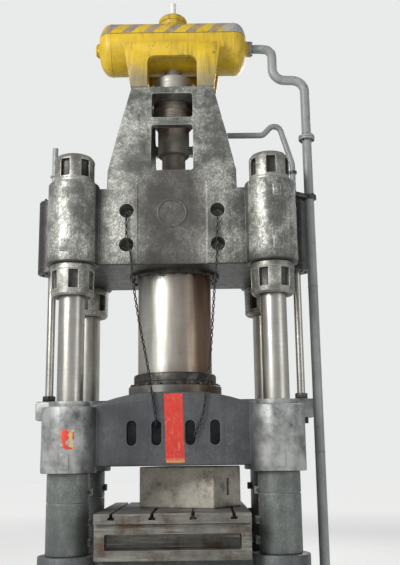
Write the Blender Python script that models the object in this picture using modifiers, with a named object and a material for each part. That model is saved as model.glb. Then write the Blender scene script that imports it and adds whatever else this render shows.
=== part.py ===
"""Four-column hydraulic forging press with a prefill tank on its tower.

Metres, +Z up, -Y is the front, the origin is the middle of the bed's underside.
The moving crosshead stands at its lowest place, on the stop sleeves of the columns.
"""
import math

import bmesh
import bpy
from mathutils import Matrix, Vector

# Common values
GAP = 0.0003                      # room between two faces that touch
OVERRUN = 0.06                    # how far a cutter runs past the wall it cuts
COLUMN_SIDES = 20                 # facets of the columns and what fits round them
ROUND_SIDES = 28                  # facets of bosses, the plunger and the tank
ROD_SIDES = 16                    # facets of the return cylinders and rods
SMALL_SIDES = 16                  # facets of ports and small covers
HEX_SIDES = 6
PIPE_RESOLUTION = 2               # facets of a pipe's bevel
ARC_STEPS = 3                     # facets of a rounded corner

# Columns
COLUMN_SPACING_X = 3.10
COLUMN_SPACING_Y = 1.90
COLUMN_RADIUS = 0.20
COLUMN_CHAMFER = 0.02
COLUMN_FOOT = 0.03                # height of the column ends above the floor
COLUMN_RECESS = 0.02              # how deep a column's end lies in its top nut

# Bed
BED_HEIGHT = 1.34                 # floor to the top of the bosses
BED_CORE_ROOM = 0.02               # between the core's flank and the foot nuts
BED_CORE_DROP = 0.04              # the core's top lies this far under the bosses
BED_DEPTH = 2.00
BED_BOSS_RADIUS = 0.42
BED_BOSS_HEIGHT = 1.02
BED_SIDE_REACH = 0.22             # side walls stand this far outside the columns
BED_SIDE_DEPTH = 1.14
BED_SIDE_DROP = 0.10
BED_RIB = 0.20                    # ribs between the cored pockets underneath
BED_RIM = 0.16                    # wall round the cored pockets
BED_ROOF = 0.30                   # thickness left over the pockets

# Foot nuts under the bed's bosses
FOOT_NUT_RADIUS = 0.34
FOOT_NUT_HEIGHT = 0.27

# Stop sleeves round the columns
SLEEVE_LENGTH = 1.149
SLEEVE_RADIUS = 0.312
SLEEVE_GROOVE = 0.008
SEAM_SHARE_LEFT = 0.635           # where the seam lies, as a share of the length
SEAM_SHARE_RIGHT = 0.73

# Tool table and bolster plate
TABLE_WIDTH = 2.20
TABLE_DEPTH = 2.90
TABLE_HEIGHT = 0.50
TABLE_WALL = 0.14
BOLSTER_HEIGHT = 0.14
BOLSTER_OVERHANG = 0.06           # the plate reaches past the table's front and rear
T_SLOT_NECK = 0.05
T_SLOT_HEAD = 0.10
T_SLOT_HEAD_HEIGHT = 0.04
T_SLOT_DEPTH = 0.09
T_SLOT_PLACE_SHARES = (-0.39, -0.13, 0.13, 0.39)   # of the table's width

# Lower die block
DIE_LENGTH = 1.32
DIE_WIDTH = 0.94
DIE_HEIGHT = 0.62
DIE_EDGE = 0.012
DIE_TURN = math.radians(-28.0)
DIE_X = 0.23                      # the die stands off the table's middle
DIE_Y = 0.025
DIE_SLOT_WIDTH = 0.07
DIE_SLOT_HEIGHT = 0.27
DIE_SLOT_DEPTH = 0.10

# Moving crosshead
CROSSHEAD_BOSS_RADIUS = 0.41
CROSSHEAD_BOSS_HEIGHT = 0.96
CROSSHEAD_COLLAR_RADIUS = 0.31
CROSSHEAD_COLLAR_HEIGHT = 0.08
CROSSHEAD_EDGE = 0.02
CROSSHEAD_LIFT = 0.09             # the beam's underside above the bosses' underside
CROSSHEAD_HEIGHT = 1.085          # the beam at its middle
CROSSHEAD_DEPTH = 2.00
CROSSHEAD_SIDE_REACH = 0.21
CROSSHEAD_SIDE_DEPTH = 1.24
CROSSHEAD_SIDE_INSET = 0.05
CROSSHEAD_TOP_WIDTH_SHARES = (0.271, 0.452, 0.735, 0.935)   # of half the column spacing
CROSSHEAD_TOP_HEIGHT_SHARES = (1.0, 0.9585, 0.848, 0.78)    # of the beam's height
SLOT_WIDTH = 0.15
SLOT_HEIGHT = 0.37
SLOT_DEPTH = 0.30
SLOT_RISE = 0.48                  # the slots' middle above the beam's underside
SLOT_INNER_X = 0.25
SLOT_OUTER_X = 0.62
CROSSHEAD_PAD_WIDTH = 0.127
CROSSHEAD_PAD_HEIGHT = 0.215
CROSSHEAD_PAD_RISE = 0.06
PAD_PROUD = 0.012
BUSH_WALL = 0.05
LUG_WIDTH = 0.32
LUG_HEIGHT = 0.30
LUG_REACH = 0.19                  # the lug's end past the rod's axis
LUG_DROP = 0.065                  # the lug's top under the beam's top

# Plunger and its foot
PLUNGER_RADIUS = 0.60
PLUNGER_LENGTH = 2.485            # from its seat to its upper end
PLUNGER_CHAMFER = 0.03
PLUNGER_FLANGE_RADIUS = 0.75
PLUNGER_FLANGE_HEIGHT = 0.135
RETAINER_RADIUS = 0.665
RETAINER_HEIGHT = 0.20
RETAINER_CHAMFER = 0.015

# Upper crosshead
UPPER_CLEAR = 4.275               # from the bed's bosses to the upper bosses
UPPER_BOSS_RADIUS = 0.40
UPPER_BOSS_HEIGHT = 1.305
UPPER_BOSS_EDGE = 0.02
UPPER_BEAM_LIFT = 0.015           # the beam's underside above the bosses' underside
UPPER_BEAM_HEIGHT = 1.24
UPPER_BEAM_INSET = 0.05           # the beam ends this far inside the column axes
UPPER_DEPTH = 2.00
UPPER_SIDE_REACH = 0.2497
UPPER_SIDE_DEPTH = 1.24
UPPER_SIDE_INSET = 0.06
PANEL_WIDTH = 1.10
PANEL_DEPTH = 0.025
PORT_RADIUS = 0.115
PORT_DEPTH = 0.36
PORT_X = 0.715
PORT_LOW_RISE = 0.32              # the lower ports above the beam's underside
PORT_HIGH_RISE = 0.87
LOW_PAD_WIDTH = 0.15
LOW_PAD_HEIGHT = 0.18
LOW_PAD_RISE = 0.165
HIGH_PAD_WIDTH = 0.12
HIGH_PAD_HEIGHT = 0.17
HIGH_PAD_RISE = 1.005
PAD_OUTBOARD = 0.075

# Tower
TOWER_HEIGHT = 1.93               # above the beam
TOWER_FOOT_WIDTH = 2.06
TOWER_TOP_WIDTH = 1.37
TOWER_TOP_DEPTH = 1.20
TOWER_ROOT = 0.90                 # how deep the tower reaches into the beam
TOWER_KNEE_SHARE = 0.166          # of the tower's height, where the flanks lean in
TOWER_WAIST_SHARE = 0.539
TOWER_WAIST_WIDTH_SHARE = 0.42    # how far the waist is drawn in towards the top width
TOWER_WALL = 0.14
TOWER_ROOF = 0.14
WINDOW_WIDTH = 0.68
WINDOW_CORNER = 0.04
LOW_WINDOW_RISE = 0.32            # above the beam
LOW_WINDOW_HEIGHT = 0.85
HIGH_WINDOW_RISE = 1.315
HIGH_WINDOW_HEIGHT = 0.472
SIDE_WINDOW_WIDTH = 0.60
NECK_HOLE_ROOM = 0.03

# Nuts above and below the upper crosshead
UNDER_NUT_RADIUS = 0.34
UNDER_NUT_FOOT_RADIUS = 0.33
UNDER_NUT_HEIGHT = 0.49
TOP_NUT_RADIUS = 0.32
TOP_NUT_HEIGHT = 0.47
NUT_CHAMFER = 0.02
NUT_POCKETS = 6
POCKET_WIDTH = 0.15
POCKET_DEPTH = 0.035
POCKET_HEIGHT_SHARE = 0.58        # of the nut's height

# Main cylinder, its bush, packing and gland
CYLINDER_RADIUS = 0.80
CYLINDER_NECK_RADIUS = 0.72
CYLINDER_SHOULDER = 1.27          # above the beam's underside
CYLINDER_NECK_HEIGHT = 0.33
CROWN_HEIGHT = 0.13
CROWN_TOP_RADIUS = 0.34
BORE_CLEARANCE = 0.03
BUSH_LENGTH = 0.33
BUSH_RADIUS = 0.68
PACKING_LENGTH = 0.10
BORE_ROOM = 0.02                  # between the raised plunger and the bore's end
VALVE_PORT_RADIUS = 0.13
GLAND_RADIUS = 0.74
GLAND_HEIGHT = 0.06
STROKE = 0.95

# Filling valve on the cylinder
VALVE_BASE_RADIUS = 0.30
VALVE_BASE_HEIGHT = 0.05
VALVE_NECK_RADIUS = 0.20
VALVE_NECK_HEIGHT = 0.40
VALVE_BODY_RADIUS = 0.27
VALVE_FLANGE_RADIUS = 0.34
VALVE_FLANGE_HEIGHT = 0.12
VALVE_FLANGE_RISE = 0.95          # above the valve's base
VALVE_CAP_RADIUS = 0.30
VALVE_CAP_RISE = 1.81
VALVE_EDGE = 0.02
VALVE_STUB_RADIUS = 0.14

# Tank and its cradle
TANK_RADIUS = 0.453
TANK_LENGTH = 2.57
TANK_DOME = 0.20
TANK_FACE_RADIUS = 0.15           # flat middle of the domed ends
TANK_SHELL = 0.014
TANK_RISE = 0.97                  # the tank's axis above the tower's top
DOME_STEPS = 4
INNER_DOME_STEPS = 2
CRADLE_HEIGHT = 0.82
CRADLE_FOOT_WIDTH = 1.40
CRADLE_TOP_WIDTH = 1.66
CRADLE_DEPTH = 1.18
CRADLE_PLATE = 0.11
CRADLE_WEB = 0.08
ARCH_WIDTH = 0.834
ARCH_HEIGHT = 0.57
ARCH_CORNER = 0.13
ARCH_LIP = 0.03                   # the cross webs stand this far back from the arch
END_COVER_RADIUS = 0.13
END_COVER_LENGTH = 0.075
END_COVER_STEP = 0.03
MANHOLE_RADIUS = 0.25
MANHOLE_RISE = 0.65               # the cover's top above the tank's axis
MANHOLE_EDGE_RISE = 0.55
VENT_RADIUS = 0.06
VENT_WALL = 0.008
VENT_LENGTH = 0.26

# Return cylinders and rods
RETURN_X = 2.04
RETURN_RADIUS = 0.24
RETURN_FOOT_LIFT = 0.085          # above the upper bosses' underside
RETURN_LENGTH = 1.27
RETURN_CAP = 0.10
RETURN_BORE = 0.19
ROD_RADIUS = 0.065
ROD_NUT_RADIUS = 0.11
ROD_NUT_HEIGHT = 0.09
PISTON_HEIGHT = 0.09
EAR_DEPTH = 0.66
EAR_HEIGHT = 0.20
EAR_LOW_RISE = 0.20               # above the upper bosses' underside
EAR_HIGH_RISE = 0.93

# Pipes
RETURN_PIPE_RADIUS = 0.05
STUB_PIPE_LENGTH = 0.97           # the left return pipe, up to its open end
STUB_RING_RISE = 0.44
STUB_RING_RADIUS = 0.078
STUB_RING_HEIGHT = 0.04
HOOK_BEND = 0.12                  # the right return pipe, hooked over to the tower's flank
HOOK_STEM = 0.63                  # rises above the return cylinder
HOOK_PEAK = 1.45
HOOK_END = 1.17
HOOK_PEAK_REACH = 0.24            # reaches in from the return cylinder's axis
HOOK_END_REACH = 0.49
SUPPLY_RADIUS = 0.078
SUPPLY_BEND = 0.20
SUPPLY_X = 2.24
SUPPLY_Y = -0.45
SUPPLY_RUN_DROP = 0.84            # the level run under the tank's axis
SUPPLY_RISER_X = 1.70
SUPPLY_RISER_Y = -0.50
SUPPLY_RISER_DROP = 0.37          # the short riser's top under the tank's axis
SUPPLY_TURN_X = 1.66
SUPPLY_NOZZLE_REACH = 0.05        # past the tank's end
SUPPLY_ENTRY_X = TANK_LENGTH / 2 + SUPPLY_NOZZLE_REACH
SUPPLY_NOZZLE_RADIUS = 0.11
SUPPLY_NOZZLE_ROOT = 0.23
SUPPLY_FLANGE_RADIUS = 0.135
SUPPLY_FLANGE_LENGTH = 0.07
SUPPLY_JOINT_LEVEL = 7.855
BEND_STEPS = 6
BRACKET_HEIGHT = 0.07
BRACKET_WALL = 0.04
BRACKET_RISE = 1.20               # above the upper bosses' underside
BRACKET_WIDTH = 0.12

# Chains from the upper ports to the inner slots
CHAIN_WIDTH = 0.044
CHAIN_ARC = 0.05
CHAIN_LINE_STEPS = 2                  # pieces of a chain's curve between two of its places
CHAIN_BEND_STEPS = 3
SLIGHT_TURN = math.radians(16.0)  # a turn that needs no arc
# The hang of each chain: shares of the way down and in from its port to its slot
CHAIN_HANG_SHARES = {
    "left": ((0.119, 0.013), (0.192, 0.160), (0.319, 0.243), (0.514, 0.460), (0.660, 0.667),
             (0.802, 0.837), (0.923, 0.976)),
    "right": ((0.139, 0.039), (0.204, 0.049), (0.338, 0.140), (0.644, 0.312), (0.759, 0.428),
              (0.851, 0.505), (0.925, 0.583)),
}
CHAIN_END_SHARES = {"left": (0.967, 1.0), "right": (1.020, 0.885)}
CHAIN_ROOM = 0.006                # between the chain and the lip of its port

# Levels worked out from the sizes above
CROSSHEAD_BASE = BED_HEIGHT + GAP + SLEEVE_LENGTH + GAP
CROSSHEAD_UNDERSIDE = CROSSHEAD_BASE + CROSSHEAD_LIFT
CROSSHEAD_TOP = CROSSHEAD_UNDERSIDE + CROSSHEAD_HEIGHT
UPPER_BASE = BED_HEIGHT + UPPER_CLEAR
UPPER_UNDERSIDE = UPPER_BASE + UPPER_BEAM_LIFT
UPPER_TOP = UPPER_UNDERSIDE + UPPER_BEAM_HEIGHT
TOWER_TOP = UPPER_TOP + TOWER_HEIGHT
TOP_NUT_BASE = UPPER_BASE + UPPER_BOSS_HEIGHT + GAP
COLUMN_TOP = TOP_NUT_BASE + TOP_NUT_HEIGHT - COLUMN_RECESS
SHOULDER_LEVEL = UPPER_UNDERSIDE + CYLINDER_SHOULDER
CROWN_BASE = SHOULDER_LEVEL + CYLINDER_NECK_HEIGHT
CROWN_TOP = CROWN_BASE + CROWN_HEIGHT
PLUNGER_SEAT = CROSSHEAD_TOP + GAP
PLUNGER_TOP = PLUNGER_SEAT + PLUNGER_LENGTH
BORE_TOP = PLUNGER_TOP + STROKE + BORE_ROOM
VALVE_BASE = CROWN_TOP + GAP
TANK_AXIS = TOWER_TOP + TANK_RISE
RETURN_BASE = UPPER_BASE + RETURN_FOOT_LIFT
RETURN_TOP = RETURN_BASE + RETURN_LENGTH
HALF_X = COLUMN_SPACING_X / 2
HALF_Y = COLUMN_SPACING_Y / 2
COLUMN_PLACES = {
    "front_left": (-HALF_X, -HALF_Y),
    "front_right": (HALF_X, -HALF_Y),
    "rear_left": (-HALF_X, HALF_Y),
    "rear_right": (HALF_X, HALF_Y),
}
SIDES = {"left": -1.0, "right": 1.0}

# Finishes: colour, roughness, metallic
FINISHES = {
    "cast_steel": ((0.20, 0.20, 0.19), 0.55, 0.6),
    "dark_cast_steel": ((0.10, 0.10, 0.105), 0.5, 0.6),
    "ground_steel": ((0.55, 0.54, 0.51), 0.22, 1.0),
    "plate_steel": ((0.42, 0.41, 0.38), 0.6, 0.4),
    "yellow_enamel": ((0.62, 0.46, 0.06), 0.55, 0.0),
    "grey_enamel": ((0.24, 0.25, 0.25), 0.5, 0.1),
    "white_enamel": ((0.75, 0.75, 0.72), 0.5, 0.0),
    "bronze": ((0.45, 0.28, 0.10), 0.35, 1.0),
    "packing": ((0.03, 0.03, 0.03), 0.8, 0.0),
    "chain_steel": ((0.09, 0.085, 0.08), 0.6, 0.7),
}


# Scene, collections and finishes
def clear_scene():
    for obj in list(bpy.data.objects):
        bpy.data.objects.remove(obj, do_unlink=True)


def new_collection(name):
    group = bpy.data.collections.new(name)
    bpy.context.scene.collection.children.link(group)
    return group


def finish(name):
    found = bpy.data.materials.get(name)
    if found:
        return found
    colour, roughness, metallic = FINISHES[name]
    made = bpy.data.materials.new(name)
    made.use_nodes = True
    shader = made.node_tree.nodes["Principled BSDF"]
    shader.inputs["Base Color"].default_value = (*colour, 1.0)
    shader.inputs["Roughness"].default_value = roughness
    shader.inputs["Metallic"].default_value = metallic
    made.diffuse_color = (*colour, 1.0)
    return made


clear_scene()
PRESS = new_collection("hydraulic_press")
CUTTERS = new_collection("cutters")


def add_piece(name, mesh, finish_name, place=(0.0, 0.0, 0.0)):
    """A visible sub-part of the press."""
    obj = bpy.data.objects.new(name, mesh)
    obj.location = place
    PRESS.objects.link(obj)
    mesh.materials.append(finish(finish_name))
    return obj


def add_tool(name, mesh, place=(0.0, 0.0, 0.0)):
    """A shape that only cuts or joins another one."""
    obj = bpy.data.objects.new(name, mesh)
    obj.location = place
    obj.hide_render = True
    obj.display_type = "WIRE"
    CUTTERS.objects.link(obj)
    return obj


def combine(target, tool, operation):
    step = target.modifiers.new(tool.name, "BOOLEAN")
    step.operation = operation
    step.solver = "EXACT"
    step.object = tool


def cut(target, tool):
    combine(target, tool, "DIFFERENCE")


def join(target, tool):
    combine(target, tool, "UNION")


# Meshes
def mesh_of(bm, name):
    mesh = bpy.data.meshes.new(name)
    bm.to_mesh(mesh)
    bm.free()
    return mesh


def box_mesh(name, low, high):
    low, high = Vector(low), Vector(high)
    bm = bmesh.new()
    fit = Matrix.Translation((low + high) / 2) @ Matrix.Diagonal((*(high - low), 1.0))
    bmesh.ops.create_cube(bm, size=1.0, matrix=fit)
    return mesh_of(bm, name)


def drum_mesh(name, radius, bottom, top, sides=ROUND_SIDES, centre=(0.0, 0.0), axis="Z"):
    """A round bar from bottom to top along one axis; centre is on the other two."""
    bm = bmesh.new()
    bmesh.ops.create_cone(bm, cap_ends=True, segments=sides, radius1=radius, radius2=radius,
                          depth=top - bottom)
    middle = (bottom + top) / 2
    if axis == "Z":
        fit = Matrix.Translation((*centre, middle))
    elif axis == "Y":
        fit = Matrix.Translation((centre[0], middle, centre[1])) @ Matrix.Rotation(math.pi / 2, 4, "X")
    else:
        fit = Matrix.Translation((middle, *centre)) @ Matrix.Rotation(math.pi / 2, 4, "Y")
    bmesh.ops.transform(bm, matrix=fit, verts=bm.verts)
    mesh = mesh_of(bm, name)
    soften(mesh)
    return mesh


def boss_mesh(name, radius, bottom, top, edge, centre):
    """A round boss with its upper rim broken."""
    bm = bmesh.new()
    bm.from_mesh(drum_mesh(name, radius, bottom, top, centre=centre))
    middle = (bottom + top) / 2
    rim = [line for line in bm.edges if all(point.co.z > middle for point in line.verts)]
    bmesh.ops.bevel(bm, geom=rim, offset=edge, segments=1, affect="EDGES")
    mesh = mesh_of(bm, name)
    soften(mesh)
    return mesh


def soften(mesh):
    """Smooth round faces, sharp edges."""
    mesh.shade_smooth()
    mesh.set_sharp_from_angle(angle=math.radians(35.0))


def profile_mesh(name, profile):
    """The section of a turned piece at +X: (radius, height), down its outer side first."""
    bm = bmesh.new()
    points = [bm.verts.new((radius, 0.0, height)) for radius, height in profile]
    for first, second in zip(points, points[1:]):
        bm.edges.new((first, second))
    if profile[0][0] > 0 and profile[-1][0] > 0:
        bm.edges.new((points[-1], points[0]))
    return mesh_of(bm, name)


def turn(obj, sides):
    """Sweep the profile of obj once round its own Z axis."""
    step = obj.modifiers.new("turning", "SCREW")
    step.steps = sides
    step.render_steps = sides
    step.use_merge_vertices = True
    step.merge_threshold = 0.00005
    step.use_smooth_shade = True
    return obj


def turned(name, profile, finish_name, place=(0.0, 0.0, 0.0), sides=ROUND_SIDES):
    return turn(add_piece(name, profile_mesh(name, profile), finish_name, place), sides)


def turned_tool(name, profile, place=(0.0, 0.0, 0.0), sides=ROUND_SIDES):
    return turn(add_tool(name, profile_mesh(name, profile), place), sides)


def ring_profile(inner, outer, bottom, top, chamfer=0.0):
    """A ring's section, with the outer edges broken."""
    if chamfer == 0.0:
        return [(outer, top), (outer, bottom), (inner, bottom), (inner, top)]
    return [(outer - chamfer, top), (outer, top - chamfer), (outer, bottom + chamfer),
            (outer - chamfer, bottom), (inner, bottom), (inner, top)]


def rounded(corners):
    """An outline from corners (x, y, radius), each radius drawn as an arc."""
    outline = []
    count = len(corners)
    for index, (x, y, radius) in enumerate(corners):
        here = Vector((x, y))
        if radius == 0.0:
            outline.append(here)
            continue
        before = (Vector(corners[index - 1][:2]) - here).normalized()
        after = (Vector(corners[(index + 1) % count][:2]) - here).normalized()
        half_angle = before.angle(after) / 2
        start = here + before * (radius / math.tan(half_angle))
        end = here + after * (radius / math.tan(half_angle))
        centre = here + (before + after).normalized() * (radius / math.sin(half_angle))
        swing = (start - centre).angle_signed(end - centre)
        for step in range(ARC_STEPS + 1):
            spoke = start - centre
            spoke.rotate(Matrix.Rotation(-swing * step / ARC_STEPS, 2))
            outline.append(centre + spoke)
    return outline


def rounded_box(centre_x, centre_y, width, height, radius):
    left, right = centre_x - width / 2, centre_x + width / 2
    low, high = centre_y - height / 2, centre_y + height / 2
    return rounded([(left, low, radius), (right, low, radius), (right, high, radius), (left, high, radius)])


def outline_mesh(name, outline, depth, facing="Y"):
    """A flat outline given thickness: (x, z) along Y, or (y, z) along X."""
    curve = bpy.data.curves.new(name, "CURVE")
    curve.dimensions = "2D"
    curve.fill_mode = "BOTH"
    curve.extrude = depth / 2
    spline = curve.splines.new("POLY")
    spline.points.add(len(outline) - 1)
    for point, (x, y) in zip(spline.points, outline):
        point.co = (x, y, 0.0, 1.0)
    spline.use_cyclic_u = True
    sketch = bpy.data.objects.new(name + "_sketch", curve)
    CUTTERS.objects.link(sketch)
    view = bpy.context.evaluated_depsgraph_get()
    mesh = bpy.data.meshes.new_from_object(sketch.evaluated_get(view))
    bpy.data.objects.remove(sketch)
    bpy.data.curves.remove(curve)
    upright = Matrix.Rotation(math.pi / 2, 4, "X")
    if facing == "X":
        upright = Matrix.Rotation(math.pi / 2, 4, "Z") @ upright
    bm = bmesh.new()
    bm.from_mesh(mesh)
    bmesh.ops.remove_doubles(bm, verts=bm.verts, dist=0.00005)
    bmesh.ops.transform(bm, matrix=upright, verts=bm.verts)
    bmesh.ops.recalc_face_normals(bm, faces=bm.faces)
    bpy.data.meshes.remove(mesh)
    return mesh_of(bm, name)


def loft_mesh(name, sections):
    """A closed body through like loops of points, one loop above another."""
    bm = bmesh.new()
    loops = [[bm.verts.new(point) for point in section] for section in sections]
    count = len(loops[0])
    for lower, upper in zip(loops, loops[1:]):
        for index in range(count):
            after = (index + 1) % count
            bm.faces.new((lower[index], lower[after], upper[after], upper[index]))
    bm.faces.new(reversed(loops[0]))
    bm.faces.new(loops[-1])
    bmesh.ops.recalc_face_normals(bm, faces=bm.faces)
    return mesh_of(bm, name)


def block_section(half_width, half_depth, level):
    return [(-half_width, -half_depth, level), (half_width, -half_depth, level),
            (half_width, half_depth, level), (-half_width, half_depth, level)]


def tube_mesh(name, route, radius):
    """A round bar along a route, with closed ends welded on."""
    curve = bpy.data.curves.new(name, "CURVE")
    curve.dimensions = "3D"
    curve.bevel_depth = radius
    curve.bevel_resolution = PIPE_RESOLUTION
    curve.use_fill_caps = True
    spline = curve.splines.new("POLY")
    spline.points.add(len(route) - 1)
    for point, place in zip(spline.points, route):
        point.co = (*place, 1.0)
    line = bpy.data.objects.new(name + "_line", curve)
    CUTTERS.objects.link(line)
    view = bpy.context.evaluated_depsgraph_get()
    mesh = bpy.data.meshes.new_from_object(line.evaluated_get(view))
    bpy.data.objects.remove(line)
    bpy.data.curves.remove(curve)
    bm = bmesh.new()
    bm.from_mesh(mesh)
    bmesh.ops.remove_doubles(bm, verts=bm.verts, dist=0.00005)
    bmesh.ops.recalc_face_normals(bm, faces=bm.faces)
    bpy.data.meshes.remove(mesh)
    made = mesh_of(bm, name)
    soften(made)
    return made


def bent_route(corners, radius, steps=BEND_STEPS):
    """A route through corner points, each sharp inner corner turned as an arc."""
    points = [Vector(corner) for corner in corners]
    route = [points[0]]
    for before, here, after in zip(points, points[1:], points[2:]):
        back = (before - here).normalized()
        ahead = (after - here).normalized()
        half_angle = back.angle(ahead) / 2
        sweep = math.pi - 2 * half_angle
        if sweep < SLIGHT_TURN:
            route.append(here)
            continue
        start = here + back * (radius / math.tan(half_angle))
        centre = here + (back + ahead).normalized() * (radius / math.sin(half_angle))
        axis = back.cross(ahead)
        for step in range(steps + 1):
            turned_by = Matrix.Rotation(-sweep * step / steps, 3, axis)
            route.append(centre + turned_by @ (start - centre))
    route.append(points[-1])
    return route


def smooth_line(points, steps):
    """A smooth curve through the points, with so many steps between two of them."""
    padded = [2 * points[0] - points[1]] + points + [2 * points[-1] - points[-2]]
    line = []
    for before, start, end, after in zip(padded, padded[1:], padded[2:], padded[3:]):
        for step in range(steps):
            t = step / steps
            line.append((2 * start + (end - before) * t
                         + (2 * before - 5 * start + 4 * end - after) * t ** 2
                         + (3 * start - before - 3 * end + after) * t ** 3) / 2)
    return line + [points[-1]]


# Columns, nuts and sleeves
def make_columns():
    profile = [
        (0.0, COLUMN_TOP),
        (COLUMN_RADIUS - COLUMN_CHAMFER, COLUMN_TOP),
        (COLUMN_RADIUS, COLUMN_TOP - COLUMN_CHAMFER),
        (COLUMN_RADIUS, COLUMN_FOOT),
        (0.0, COLUMN_FOOT),
    ]
    for where, (x, y) in COLUMN_PLACES.items():
        turned("column_" + where, profile, "ground_steel", (x, y, 0.0), COLUMN_SIDES)


def nut_with_pockets(name, radius, foot_radius, bottom, height, place, first_pocket):
    """A round nut with spanner pockets round its middle."""
    top = bottom + height
    inner = COLUMN_RADIUS + GAP
    profile = [(radius - NUT_CHAMFER, top), (radius, top - NUT_CHAMFER), (foot_radius, bottom),
               (inner, bottom), (inner, top)]
    nut = turned(name, profile, "cast_steel", place, COLUMN_SIDES)
    spokes = bmesh.new()
    pocket_height = height * POCKET_HEIGHT_SHARE
    size = (POCKET_DEPTH + OVERRUN, POCKET_WIDTH, pocket_height)
    reach = foot_radius - POCKET_DEPTH + size[0] / 2
    for number in range(NUT_POCKETS):
        angle = first_pocket + 2 * math.pi * number / NUT_POCKETS
        fit = (Matrix.Rotation(angle, 4, "Z") @ Matrix.Translation((reach, 0.0, bottom + height / 2))
               @ Matrix.Diagonal((*size, 1.0)))
        bmesh.ops.create_cube(spokes, size=1.0, matrix=fit)
    cut(nut, add_tool(name + "_pockets", mesh_of(spokes, name + "_pockets"), place))
    return nut


def make_nuts():
    turns = {"front_left": 0.72, "front_right": 1.06, "rear_left": 0.4, "rear_right": 0.9}
    for where, (x, y) in COLUMN_PLACES.items():
        nut_with_pockets("under_nut_" + where, UNDER_NUT_RADIUS, UNDER_NUT_FOOT_RADIUS,
                         UPPER_BASE - GAP - UNDER_NUT_HEIGHT, UNDER_NUT_HEIGHT, (x, y, 0.0), turns[where])
        nut_with_pockets("top_nut_" + where, TOP_NUT_RADIUS, TOP_NUT_RADIUS, TOP_NUT_BASE, TOP_NUT_HEIGHT,
                         (x, y, 0.0), turns[where] + math.pi / NUT_POCKETS)
        foot_top = BED_HEIGHT - BED_BOSS_HEIGHT - GAP
        profile = ring_profile(COLUMN_RADIUS + GAP, FOOT_NUT_RADIUS, foot_top - FOOT_NUT_HEIGHT, foot_top)
        turned("foot_nut_" + where, profile, "dark_cast_steel", (x, y, 0.0), COLUMN_SIDES)


def make_sleeves():
    bottom = BED_HEIGHT + GAP
    top = bottom + SLEEVE_LENGTH
    inner = COLUMN_RADIUS + GAP
    for where, (x, y) in COLUMN_PLACES.items():
        share = SEAM_SHARE_LEFT if x < 0 else SEAM_SHARE_RIGHT
        seam = bottom + SLEEVE_LENGTH * share
        profile = [
            (SLEEVE_RADIUS, top),
            (SLEEVE_RADIUS, seam + SLEEVE_GROOVE),
            (SLEEVE_RADIUS - SLEEVE_GROOVE, seam),
            (SLEEVE_RADIUS, seam - SLEEVE_GROOVE),
            (SLEEVE_RADIUS, bottom),
            (inner, bottom),
            (inner, top),
        ]
        turned("stop_sleeve_" + where, profile, "grey_enamel", (x, y, 0.0), COLUMN_SIDES)


# Bed, table and die
def make_bed():
    core_top = BED_HEIGHT - BED_CORE_DROP
    half_core, half_depth = HALF_X - FOOT_NUT_RADIUS - BED_CORE_ROOM, BED_DEPTH / 2
    bed = add_piece("bed", box_mesh("bed", (-half_core, -half_depth, 0.0), (half_core, half_depth, core_top)),
                    "dark_cast_steel")
    half_side = HALF_X + BED_SIDE_REACH
    side = box_mesh("bed_side", (-half_side, -BED_SIDE_DEPTH / 2, 0.0),
                    (half_side, BED_SIDE_DEPTH / 2, core_top - BED_SIDE_DROP))
    join(bed, add_tool("bed_side", side))
    boss_bottom = BED_HEIGHT - BED_BOSS_HEIGHT
    for where, place in COLUMN_PLACES.items():
        join(bed, add_tool("bed_boss_" + where,
                           drum_mesh("bed_boss", BED_BOSS_RADIUS, boss_bottom, BED_HEIGHT, centre=place)))
    for where, place in COLUMN_PLACES.items():
        bore = drum_mesh("bed_bore", COLUMN_RADIUS + GAP, boss_bottom - OVERRUN, BED_HEIGHT + OVERRUN,
                         COLUMN_SIDES, place)
        cut(bed, add_tool("bed_bore_" + where, bore))
    inner, outer_x, outer_y = BED_RIB / 2, half_core - BED_RIM, half_depth - BED_RIM
    roof = core_top - BED_ROOF
    pockets = bmesh.new()
    for x_side in SIDES.values():
        for y_side in SIDES.values():
            size = Vector((outer_x - inner, outer_y - inner, roof + OVERRUN))
            middle = Vector((x_side * (inner + outer_x) / 2, y_side * (inner + outer_y) / 2,
                             (roof - OVERRUN) / 2))
            bmesh.ops.create_cube(pockets, size=1.0,
                                  matrix=Matrix.Translation(middle) @ Matrix.Diagonal((*size, 1.0)))
    cut(bed, add_tool("bed_pockets", mesh_of(pockets, "bed_pockets")))


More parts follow.
